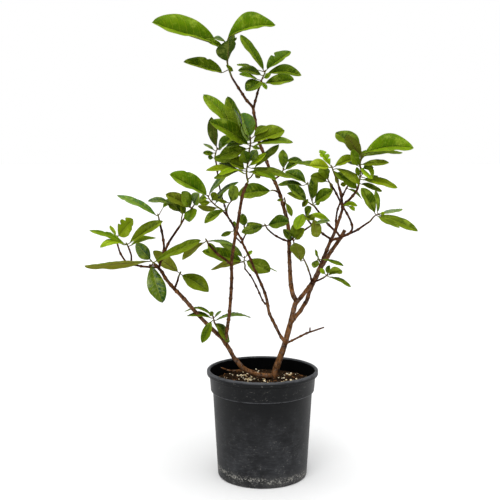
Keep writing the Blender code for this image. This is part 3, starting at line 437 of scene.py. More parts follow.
def scattered(rng, count):
    """Places on the soil that no stem covers."""
    places = []
    while len(places) < count:
        radius = (SOIL_RADIUS - 0.003) * math.sqrt(rng.random())
        turn = rng.uniform(0, math.tau)
        x = radius * math.cos(turn)
        y = radius * math.sin(turn)
        if all(math.hypot(x - foot_x, y - foot_y) > reach for foot_x, foot_y, reach in STEM_FEET):
            places.append((x, y))
    return places


def add_bit(cage, rng, place, length, shape, sink, lumpy):
    """Chip or grain with a length and a shape as shares of it, turned at random and sunk in the soil."""
    size = [length * share for share in shape]
    corners = bmesh.ops.create_icosphere(cage, subdivisions=1, radius=0.5)["verts"]
    turn = Matrix.Rotation(rng.uniform(0, math.tau), 3, "Z") @ Matrix.Rotation(rng.gauss(0, 0.45), 3, "X")
    for vertex in corners:
        vertex.co = Vector([reach * extent for reach, extent in zip(vertex.co, size)])
        vertex.co *= 1 + rng.uniform(-lumpy, lumpy)
        vertex.co = turn @ vertex.co + Vector((*place, soil_height(*place) + size[2] * (0.5 - sink)))


soil_cage = bmesh.new()
soil_profile = [(SOIL_RADIUS * ring / SOIL_RINGS, SOIL_LEVEL) for ring in range(SOIL_RINGS + 1)]
soil_profile += rounded(SOIL_RADIUS, COLLAR_FOOT + COLLAR_STEP, (0, 1))
soil_profile += rounded(BODY_TOP_RADIUS - WALL - SOIL_GAP, COLLAR_FOOT, (0, 1.2))
soil_profile += rounded(FOOT_RADIUS, SOIL_FLOOR, (-3.8, 3.7), (-5.8, 0)) + [(0, SOIL_FLOOR)]
turned(soil_cage, soil_profile, SOIL_STEPS)
for vertex in soil_cage.verts:
    x, y, z = vertex.co
    if z > SOIL_LEVEL - 0.0001 and math.hypot(x, y) < SOIL_RADIUS - 0.0005:
        vertex.co.z = soil_height(x, y)

earth = Finish("damp_potting_soil", 0.95, 0.05)
crumble = earth.place.noise(420, 6, 0.75)
fibres = earth.place.noise(900, 4, 0.7, (1, 0.25, 1))
earth_tone = crumble.fade(0.4, 0.62).blend(WETTED_SOIL, DRY_SOIL)
earth.wire(Base_Color=(fibres.fade(0.62, 0.72) * 0.6).blend(earth_tone, (0.20, 0.11, 0.05, 1)),
           Normal=(crumble + fibres * 0.4).bump(0.0014, 0.9))
dress("potting_soil", to_mesh(soil_cage, "potting_soil"), [earth], "potting_soil", "soil")

litter_rng = random.Random(11)
chip_cage = bmesh.new()
for place in scattered(litter_rng, BARK_CHIPS):
    length = litter_rng.uniform(*CHIP_LENGTHS) * litter_rng.uniform(0.5, 1)
    chip_shape = (1, litter_rng.uniform(0.3, 0.7), 0.35)
    add_bit(chip_cage, litter_rng, place, length, chip_shape, sink=0.25, lumpy=0.22)
bark_chip = Finish("composted_bark_chips", 0.85, 0.1)
chip_tone = bark_chip.place.noise(95, 2).fade(0.48, 0.60)
chip_colour = chip_tone.blend((0.012, 0.006, 0.003, 1), (0.30, 0.125, 0.042, 1))
chip_colour = (bark_chip.place.noise(700, 4, 0.7) * 0.6).blend(chip_colour, (0.02, 0.011, 0.006, 1))
bark_chip.wire(Base_Color=chip_colour,
               Normal=bark_chip.place.noise(1500, 3, 0.6, (0.3, 1, 1)).bump(0.0004, 0.7))
dress("bark_chips", to_mesh(chip_cage, "bark_chips", crease=20), [bark_chip], "potting_soil")

crumb_cage = bmesh.new()
for place in scattered(litter_rng, CRUMBS):
    size = litter_rng.uniform(*CRUMB_SIZES)
    add_bit(crumb_cage, litter_rng, place, size, CRUMB_SHAPE, sink=0.3, lumpy=0.2)
dress("soil_crumbs", to_mesh(crumb_cage, "soil_crumbs"), [earth], "potting_soil")

perlite_cage = bmesh.new()
for place in scattered(litter_rng, PERLITE_GRAINS):
    size = litter_rng.uniform(*PERLITE_SIZES) * litter_rng.uniform(0.7, 1)
    add_bit(perlite_cage, litter_rng, place, size, PERLITE_SHAPE, sink=0.15, lumpy=0.18)
for clump_x, clump_y, count in PERLITE_CLUMPS:
    for _ in range(count):
        place = (litter_rng.gauss(clump_x, CLUMP_SPREAD), litter_rng.gauss(clump_y, CLUMP_SPREAD))
        size = litter_rng.uniform(*CLUMP_SIZES)
        add_bit(perlite_cage, litter_rng, place, size, PERLITE_SHAPE, sink=0.10, lumpy=0.18)
perlite = Finish("cream_perlite", 0.8, 0.1)
perlite_tone = perlite.place.noise(120, 2).fade(0.35, 0.65)
perlite.wire(Base_Color=perlite_tone.blend((0.60, 0.44, 0.22, 1), (0.90, 0.82, 0.62, 1)),
             Normal=perlite.place.noise(1600, 3).bump(0.0004, 0.6))
dress("perlite", to_mesh(perlite_cage, "perlite"), [perlite], "potting_soil")


# Stems
# Bare woody stems of a young laurel: one foot forks just over the soil into a trunk and a left limb.
# Brown bark with a grey film and pale breathing pores low down, redder and smoother on the thin twigs,
# with a slightly swollen ring and a dark scar wherever a leaf has dropped.
FOOT_DEPTH = 30
DEPTH_SPREAD = 1.3
ROOT_DEPTH = 0.045
STEM_SPACING = 0.0035
STEM_SIDES = 5
CURVE_PARTS = 8
STEM_GAP = 0.0003
RING_EVERY = 0.023
RING_WIDTH = 0.0022
RING_HEIGHT = 0.0009
RINGED_RADIUS = 0.0035
RING_CLEAR_OF_END = 0.012
STEM_UNEVENNESS = 0.06
BARK_UNEVENNESS = 0.00022
TWIG_THICKENING = 0.0003
OLD_WOOD_RADIUS = 0.0065
OLD_WOOD_HEIGHT = 0.36
FOOT_AGE = 0.9

# Each row: the stem that carries it, its route in pixels, depths in mm and diameters in mm along it
STEMS = {
    "leader": ("", [(273, 378), (278, 363), (283, 349.5), (287, 336), (291, 321), (294.5, 306), (296, 301),
        (293, 295), (291.5, 288), (290.5, 280), (289.5, 260), (289.2, 252), (289, 238), (287.5, 222),
        (283.5, 207), (279.5, 193), (274.5, 181), (272, 177), (268, 165), (263.5, 153), (259.5, 143),
        (256.5, 131), (255.5, 122), (254, 114), (253, 108), (250.5, 104.5), (246, 99.5), (242.5, 94),
        (238.5, 88), (235, 82.5), (232.5, 78.5)], (30, 27, 25, 40, 55, 60, 55, 50, 22),
        (13.5, 11, 9.4, 7.4, 6.8, 6.2, 5.6, 5.2, 3.6)),
    "left_limb": ("leader", [(273, 377), (268, 376), (262, 375.5), (257, 374.5), (252, 372.5), (246, 370),
        (241, 366), (237, 361), (233, 356), (230, 350), (227, 345.5), (224, 341), (222, 338), (217, 333.5),
        (210, 327), (204, 321), (198, 314.5), (192, 308), (186, 301), (180, 294.5), (174, 288.5),
        (166, 279), (162, 272), (158.5, 268), (156, 265)], (26, 12, 8, 4, 0, -12, -25, -38, -50),
        (10.5, 9, 8.5, 8, 7.4, 7, 6.6, 6, 5)),
    "front_stem": ("left_limb", [(224, 341), (226, 337), (227, 330), (228.5, 320), (229.5, 312),
        (230.5, 300), (231.3, 288), (231.7, 275), (231.5, 264), (232.5, 254), (233.8, 245), (235.3, 236),
        (237, 228), (238.3, 220), (239.5, 212), (241, 203), (242.5, 195), (244.5, 189), (247, 183.5)],
        (2, -12, -30, -45, -60, -66, -71, -75), (6.4, 6, 5.8, 5.5, 5.2, 5)),
    "back_stem": ("leader", [(285, 343), (280, 335), (275, 325), (270, 315), (268.5, 310), (267.5, 303),
        (265.5, 295), (262.5, 287), (258, 277), (254, 268), (250, 258), (246, 250), (243, 244), (242, 240),
        (239.5, 236), (237, 231.5), (235, 229), (233, 225), (230, 220), (226, 214.5), (222.5, 210.5)],
        (30, 40, 52, 62, 70, 78, 86, 94, 101), (6, 5.4, 5, 4.6, 4.2, 3.8, 3.4)),
    "right_stem": ("leader", [(295.5, 304), (302, 296), (307, 289.5), (312, 282.5), (316, 275.5),
        (319, 269), (322, 262), (325, 254.5), (328, 247), (331, 240), (333.5, 235), (336, 228.5),
        (338.5, 221.5), (341, 214), (342.5, 208), (342, 203), (341.5, 198), (340.5, 192), (339, 187)],
        (25, 14, 4, -5, -15, -25, -32, -40, -46), (8, 7.4, 6.8, 6.2, 5.6, 4.8, 4.4)),
    "cut_stem": ("leader", [(291, 324), (296, 316), (300, 311.5), (303, 306.5), (307, 300), (309, 293),
        (313, 284), (317, 276), (321, 268), (326, 259.5), (331, 251.5), (336, 244.5), (341, 237),
        (345, 230)], (27, 34, 40, 44, 44), (7.6, 7.2, 7.2, 7.4, 6.6)),
    "soil_stub": ("left_limb", [(247, 370), (243, 370.5), (237, 370.5), (232, 371), (226, 369.5),
        (221, 367.5)], (2, 12, 22, 30), (3.4, 2.8, 2.4)),
    "dead_twig": ("leader", [(285, 345), (291, 341), (299, 337), (306, 333.5), (310, 332), (316, 330),
        (324, 327.3)], (28, 20, 12, 4), (3.8, 3.4, 2.6)),
    "dead_bud": ("dead_twig", [(309.5, 332.5), (310, 330), (310, 327.5)], (14, 13), (3, 1.8)),
    "end_bud": ("left_limb", [(150, 266), (149, 265)], (-47, -48), (3, 2)),
    "left_small_twig": ("front_stem", [(231, 264.5), (226, 260), (220, 256), (216, 252.5), (212, 248),
        (208.5, 244)], (-50, -56, -62), (4, 3.4)),
    "low_back_twig": ("back_stem", [(267.5, 306), (263, 301), (258, 290), (252, 278), (248, 272.5),
        (245.5, 269.5)], (56, 90, 108, 120), (3, 2.6)),
    "back_thin_twig": ("back_stem", [(226.5, 215), (225, 207), (222.5, 199), (220, 189), (218, 178),
        (217, 168), (216, 162)], (96, 114, 126, 134, 140), (3, 2.6)),
    "left_high_twig": ("left_limb", [(159, 268.5), (160.5, 262), (163, 256), (164, 247), (163, 238),
        (161.5, 230), (160, 224)], (-48, -42, -34, -30), (4.4, 3.6)),
    "left_fan_twig": ("left_high_twig", [(162.8, 257), (165.5, 250), (168.5, 243), (172, 237.5),
        (176, 231.5), (179.5, 226.5)], (-43, -42, -42), (4.2, 3.8)),
    "far_left_top_twig": ("left_limb", [(158, 267.5), (150, 267), (140, 266), (128, 263), (125, 260.5),
        (120.5, 253.5), (118, 246)], (-48, -32, -12, 0), (3.8, 3)),
    "far_left_twig": ("far_left_top_twig", [(140, 266), (134, 264.8), (131.5, 262.5), (131.3, 255.5),
        (129.5, 250)], (-34, -38, -42), (3.2, 2.8)),
    "left_low_twig": ("left_limb", [(175, 289.5), (177.5, 281), (178.3, 277.5)], (-36, -30, -28), (4, 3.4)),
    "low_left_twig": ("left_limb", [(222.5, 338), (219, 330), (216.5, 326), (215, 323.5)], (0, -10, -18),
        (3.6, 3)),
    "middle_twig": ("leader", [(288.5, 241), (283, 239.5), (278, 237), (273, 234), (269, 230.5)],
        (56, 44, 36), (3.4, 2.8)),
    "behind_middle_twig": ("back_stem", [(242.5, 242), (244, 237.5), (245.3, 235)], (87, 80, 76), (3, 2.6)),
    "behind_small_twig": ("back_stem", [(243.5, 245), (238, 239.5), (235, 236)], (86, 98, 106), (3, 2.6)),
    "back_middle_twig": ("back_stem", [(228.5, 218), (227, 213.5), (226.8, 210.5)], (96, 90, 86), (3, 2.6)),
    "crown_right_twig": ("leader", [(253.5, 110), (255, 102), (256.3, 97.5), (258, 91), (259.3, 87.5)],
        (50, 58, 64), (4.4, 3.4)),
    "leader_side_twig": ("leader", [(273.5, 180), (277, 177.5), (280, 175)], (54, 50, 47), (3.4, 2.8)),
    "leader_low_leaf_twig": ("leader", [(279.5, 193.5), (277.5, 192), (275.8, 191)], (56, 50, 44),
        (3.2, 2.8)),
    "leader_bud_twig": ("leader", [(283.7, 208), (284.6, 205), (285, 202.5)], (56, 50, 46), (3, 2.4)),
    "centre_olive_twig": ("leader", [(290, 241), (296, 235.5), (303, 231), (308.5, 227.3)], (58, 34, 8, -6),
        (3.6, 3)),
    "centre_dark_twig": ("leader", [(289.8, 255), (291.5, 250), (293, 246.5)], (58, 42, 26), (3.2, 2.8)),
    "centre_lime_twig": ("right_stem", [(331.5, 239.5), (326, 236), (320, 231.5), (312, 225), (309, 221.5)],
        (-22, -4, 12, 20), (4, 3.2)),
    "right_middle_twig": ("cut_stem", [(341, 237), (337, 232.5), (333, 229), (326, 222), (321, 215),
        (318, 211), (315, 207)], (44, 52, 60), (4.2, 3.2)),
    "far_right_twig": ("cut_stem", [(340.5, 238), (346, 235), (352, 232.5), (358, 229.5), (363, 226),
        (369, 222)], (44, 52, 58), (4.4, 3.4)),
    "right_behind_twig": ("right_stem", [(331, 241), (337, 238.5), (343, 236.5), (349, 233.5),
        (352.3, 228.5), (351, 222), (347.5, 214.5), (344, 208.5), (340, 201), (335, 191), (331.5, 185.5)],
        (-22, -10, -2, 0, -4, -14), (4, 3)),
    "right_inner_twig": ("right_stem", [(336, 229), (336, 220), (337.5, 210), (340.5, 202), (343, 195),
        (346, 189)], (-27, -12, -6, -14, -22), (3.2, 2.6)),
    "right_step_twig": ("right_stem", [(342, 209), (344, 204.5), (349, 200), (353, 195.5), (356.5, 191),
        (358, 187)], (-35, -44, -54), (4.6, 3.8)),
    "right_lime_twig": ("right_step_twig", [(343.5, 205.5), (345, 205.4), (346.3, 205.3)], (-37, -38, -40),
        (3, 2.4)),
    "right_low_twig": ("right_stem", [(312, 282.5), (315, 281.5), (319, 280), (323, 278)], (4, -4, -8),
        (3.6, 2.8)),
    "right_inside_twig": ("right_stem", [(321.5, 263), (320, 261.5), (319, 260)], (-8, -14, -18), (3, 2.4)),
    "round_leaf_twig": ("right_stem", [(312, 283), (310.5, 276), (308.8, 271)], (4, -2, -8), (3.2, 2.6)),
}


def sight(x, y, depth):
    """Point that a pixel shows, at a depth in mm behind the pot's axis."""
    across = x - VIEW_CENTRE
    up = VIEW_CENTRE - y
    ray = Vector((
        across,
        FOCAL_PIXELS * math.cos(PITCH) + up * math.sin(PITCH),
        up * math.cos(PITCH) - FOCAL_PIXELS * math.sin(PITCH),
    ))
    return EYE + ray * ((depth * MM - EYE.y) / ray.y)


def stem_point(x, y, depth):
    """Point of a stem, seen at a pixel, with its depth opened out from the trunk's foot."""
    return sight(x, y, FOOT_DEPTH + (depth - FOOT_DEPTH) * DEPTH_SPREAD)


def along(values, share):
    """Value at a share of the way along evenly spaced values."""
    place = share * (len(values) - 1)
    index = min(int(place), len(values) - 2)
    return values[index] + (values[index + 1] - values[index]) * (place - index)


def smooth(points, spacing):
    """Evenly spaced points on a smooth curve through the given points."""
    ends = [points[0] * 2 - points[1]] + points + [points[-1] * 2 - points[-2]]
    fine = []
    for before, start, end, after in zip(ends, ends[1:], ends[2:], ends[3:]):
        for step in range(CURVE_PARTS):
            t = step / CURVE_PARTS
            fine.append(0.5 * (2 * start + (end - before) * t
                               + (2 * before - 5 * start + 4 * end - after) * t ** 2
                               + (3 * start - before - 3 * end + after) * t ** 3))
    fine.append(points[-1])
    lengths = [0.0]
    for start, end in zip(fine, fine[1:]):
        lengths.append(lengths[-1] + (end - start).length)
    count = max(2, round(lengths[-1] / spacing))
    even = []
    index = 0
    for step in range(count + 1):
        target = lengths[-1] * step / count
        while index < len(fine) - 2 and lengths[index + 1] < target:
            index += 1
        span = lengths[index + 1] - lengths[index]
        even.append(fine[index].lerp(fine[index + 1], (target - lengths[index]) / span if span else 0))
    return even


def nearest(points, x, y):
    """The point of a line that is seen closest to a pixel."""
    def distance(point):
        return (sight(x, y, point.y / MM) - point).length
    return min(points, key=distance)


def rods(name, lines, sides):
    """One mesh of round closed rods, each given as (points, radii)."""
    curve = bpy.data.curves.new(name, "CURVE")
    curve.dimensions = "3D"
    curve.bevel_depth = 1.0
    curve.bevel_resolution = sides
    curve.use_fill_caps = True
    for points, radii in lines:
        spline = curve.splines.new("POLY")
        spline.points.add(len(points) - 1)
        for knot, point, radius in zip(spline.points, points, radii):
            knot.co = (*point, 1)
            knot.radius = radius
    return baked(curve)


def ringed(points, radii, rng):
    """Radii with a swollen ring every so often, and how near to a ring each point is."""
    walked = [0.0]
    next_ring = rng.uniform(0.3, 1.0) * RING_EVERY
    rings = []
    for start, end in zip(points, points[1:]):
        walked.append(walked[-1] + (end - start).length)
        if walked[-1] > next_ring:
            rings.append(walked[-1])
            next_ring = walked[-1] + RING_EVERY * rng.uniform(0.55, 1.25)
    rings = [ring for ring in rings if ring < walked[-1] - RING_CLEAR_OF_END]
    swollen = []
    ring_shares = []
    for point, radius, place in zip(points, radii, walked):
        share = sum(math.exp(-((place - ring) / RING_WIDTH) ** 2) for ring in rings)
        ring_shares.append(share)
        swell = RING_HEIGHT * min(1, RINGED_RADIUS / radius) ** 2 * share
        swollen.append(radius * (1 + STEM_UNEVENNESS * noise(point * 60)) + swell)
    return swollen, ring_shares


stem_rng = random.Random(5)
stem_lines = {}
rods_of_wood = []
line_points = []
for name, (carrier, route, depths, diameters) in STEMS.items():
    last = len(route) - 1
    guide = [stem_point(x, y, along(depths, index / last)) for index, (x, y) in enumerate(route)]
    if carrier:
        guide[0] = nearest(stem_lines[carrier], *route[0])
    points = smooth(guide, STEM_SPACING)
    count = len(points) - 1
    radii = [along(diameters, index / count) * MM / 2 + TWIG_THICKENING for index in range(count + 1)]
    if name == "leader":
        foot = points[0]
        root = smooth([foot + Vector((-0.003, 0.002, -ROOT_DEPTH)),
                       foot + Vector((-0.001, 0, -ROOT_DEPTH / 3)), foot], STEM_SPACING)[:-1]
        radii = [radii[0] * (0.7 + 0.45 * index / len(root)) for index in range(len(root))] + radii
        points = root + points
    stem_lines[name] = points
    radii, ring_shares = ringed(points, radii, stem_rng)
    rods_of_wood.append((points, radii))
    line_points += zip(points, radii, ring_shares)
wood_cage = bmesh.new()
wood_cage.from_mesh(rods("woody_stems", rods_of_wood, STEM_SIDES))
bmesh.ops.remove_doubles(wood_cage, verts=wood_cage.verts, dist=0.00001)
age = wood_cage.verts.layers.float.new("age")
scar = wood_cage.verts.layers.float.new("scar")
stem_tree = KDTree(len(line_points))
for index, line_point in enumerate(line_points):
    stem_tree.insert(line_point[0], index)
stem_tree.balance()
for vertex in wood_cage.verts:
    _, radius, share = line_points[stem_tree.find(vertex.co)[1]]
    vertex[scar] = share
    vertex[age] = radius / OLD_WOOD_RADIUS + FOOT_AGE * max(0, 1 - vertex.co.z / OLD_WOOD_HEIGHT)
    vertex.co += vertex.normal * BARK_UNEVENNESS * noise(vertex.co * 260)

bark = Finish("laurel_bark", 0.7, 0.03)
old = bark.attribute("age").fade(0.22, 0.80)
blotches = bark.place.noise(70, 4, 0.6)
patchy = blotches.fade(0.3, 0.7)
fissures = bark.place.noise(230, 5, 0.7, (1, 1, 0.4))
pores = bark.place.noise(760, 2, 0.5, (1, 1, 1.6)).fade(0.66, 0.74)
grey_film = bark.place.noise(150, 5, 0.7).fade(0.50, 0.60) * old * 0.6
scars = bark.attribute("scar").fade(0.62, 0.98) * blotches.fade(0.40, 0.55)
young_bark = patchy.blend((0.018, 0.0045, 0.0012, 1), (0.076, 0.021, 0.0055, 1))
old_bark = patchy.blend((0.070, 0.029, 0.010, 1), (0.246, 0.110, 0.041, 1))
bark_colour = old.blend(young_bark, old_bark).under(
    (fissures.fade(0.51, 0.58) * 0.8, (0.016, 0.007, 0.004, 1)),
    (grey_film, (0.165, 0.122, 0.098, 1)),
    (scars * (0.55 - old * 0.30), (0.014, 0.005, 0.003, 1)),
    (pores * 0.45, (0.42, 0.30, 0.20, 1)),
)
bark.wire(Base_Color=bark_colour, Roughness=0.55 + old * 0.25,
          Normal=(pores * 0.5 - fissures.fade(0.45, 0.7)).bump(0.0005, 0.7))
dress("woody_stems", to_mesh(wood_cage, "woody_stems"), [bark], "laurel_bark", "woody_frame")


# Leaves
# Leathery evergreen blades, glossy dark green above and paler and matt below: each is a thin folded sheet
# that rises between its side veins, with a stout midrib that stands proud underneath and runs back into
# a short stalk. The shoots that carry them are this year's growth and end in a pointed bud.
LEAF_ASPECT = 0.42
FULLNESS = 1.18
FAR_SHARE = 0.44
ARCH = 0.07
LEAF_THICKNESS = 0.0005
LEAF_ACROSS = 12
LEAF_ALONG = 34
EDGE_WAVE = 0.06
EDGE_ROLL = 0.16
QUILT = 0.0008
SIDE_VEINS = 9
LEAF_CREASE = 70
LEAF_FOOT = 0.0006
BASE_REACH = 0.06
SPARE_WIDTH = 1.02
TWIST = 14
WIDEST = (0.98, 1.22)
BLUNTNESS = (0.58, 0.74)
BRIGHTNESS = (0.88, 1.12)
WARMTH = (0.92, 1.10)
BITE_LENGTH = 0.035
STALK_LENGTH = 0.006
STALK_RADIUS = 0.00095
STALK_SIDES = 2
RIB_SINK = 0.0002
SHOOT_RADIUS = 0.0016
SHOOT_SPACING = 0.004
SIDE_SHOOT_RADIUS = 0.8 * SHOOT_RADIUS
BUD_LENGTH = 0.0055
# Along a bud: the share of its length, and its thickness there beside the shoot's
BUD_SWELL = ((0, 0.9), (0.15, 1.25), (0.35, 1.35), (0.6, 1.0), (0.85, 0.5), (1, 0.1))

# Upper side, underside and gloss of each tone of leaf. The 'black' tone is painted shade for leaves lying in
# shadow, and the bluish 'grey' is partly painted reflection on glossy leaves
TONES = {
    "bright": ((0.092, 0.176, 0.001), (0.21, 0.27, 0.022), 0.06),
    "green": ((0.058, 0.115, 0.002), (0.155, 0.20, 0.014), 0.10),
    "mid": ((0.050, 0.095, 0.001), (0.16, 0.19, 0.012), 0.05),
    "dark": ((0.034, 0.076, 0.002), (0.105, 0.13, 0.010), 0.14),
    "teal": ((0.017, 0.068, 0.006), (0.10, 0.14, 0.025), 0.60),
    "deep": ((0.009, 0.046, 0.003), (0.10, 0.14, 0.025), 0.45),
    "shiny": ((0.050, 0.150, 0.004), (0.14, 0.20, 0.02), 0.50),
    # Painted shade: near-black leaves, put where the crown lies in shadow
    "black": ((0.010, 0.038, 0.003), (0.05, 0.08, 0.008), 0.15),
    "olive": ((0.096, 0.134, 0.003), (0.155, 0.17, 0.013), 0.05),
    "lime": ((0.265, 0.415, 0.005), (0.33, 0.45, 0.022), 0.06),
    "yellow": ((0.200, 0.260, 0.003), (0.25, 0.29, 0.016), 0.05),
    # Glossy leaves whose bluish grey-green is partly painted reflection of the sky
    "grey": ((0.080, 0.150, 0.035), (0.18, 0.23, 0.06), 0.90),
    "brown": ((0.072, 0.082, 0.006), (0.105, 0.115, 0.012), 0.03),
}

# Leaves that insects have chewed: the share of the length, the side and the depth of each bite
BITES = {
    ("crown_left", 0): ((0.43, 1, 0.12),),
    ("crown_right", 1): ((0.47, 1, 0.40),),
    ("back_bright", 0): ((0.66, 1, 0.08),),
    ("far_left_top", 0): ((0.45, 1, 0.35), (0.70, 1, 0.40), (0.82, -1, 0.25)),
    ("left_high", 0): ((0.80, -1, 0.30),),
    ("right_crown", 1): ((0.35, 1, 0.55), (0.50, -1, 0.50), (0.64, 1, 0.65), (0.80, -1, 0.50)),
    ("far_left", 0): ((0.60, 1, 0.35),),
}

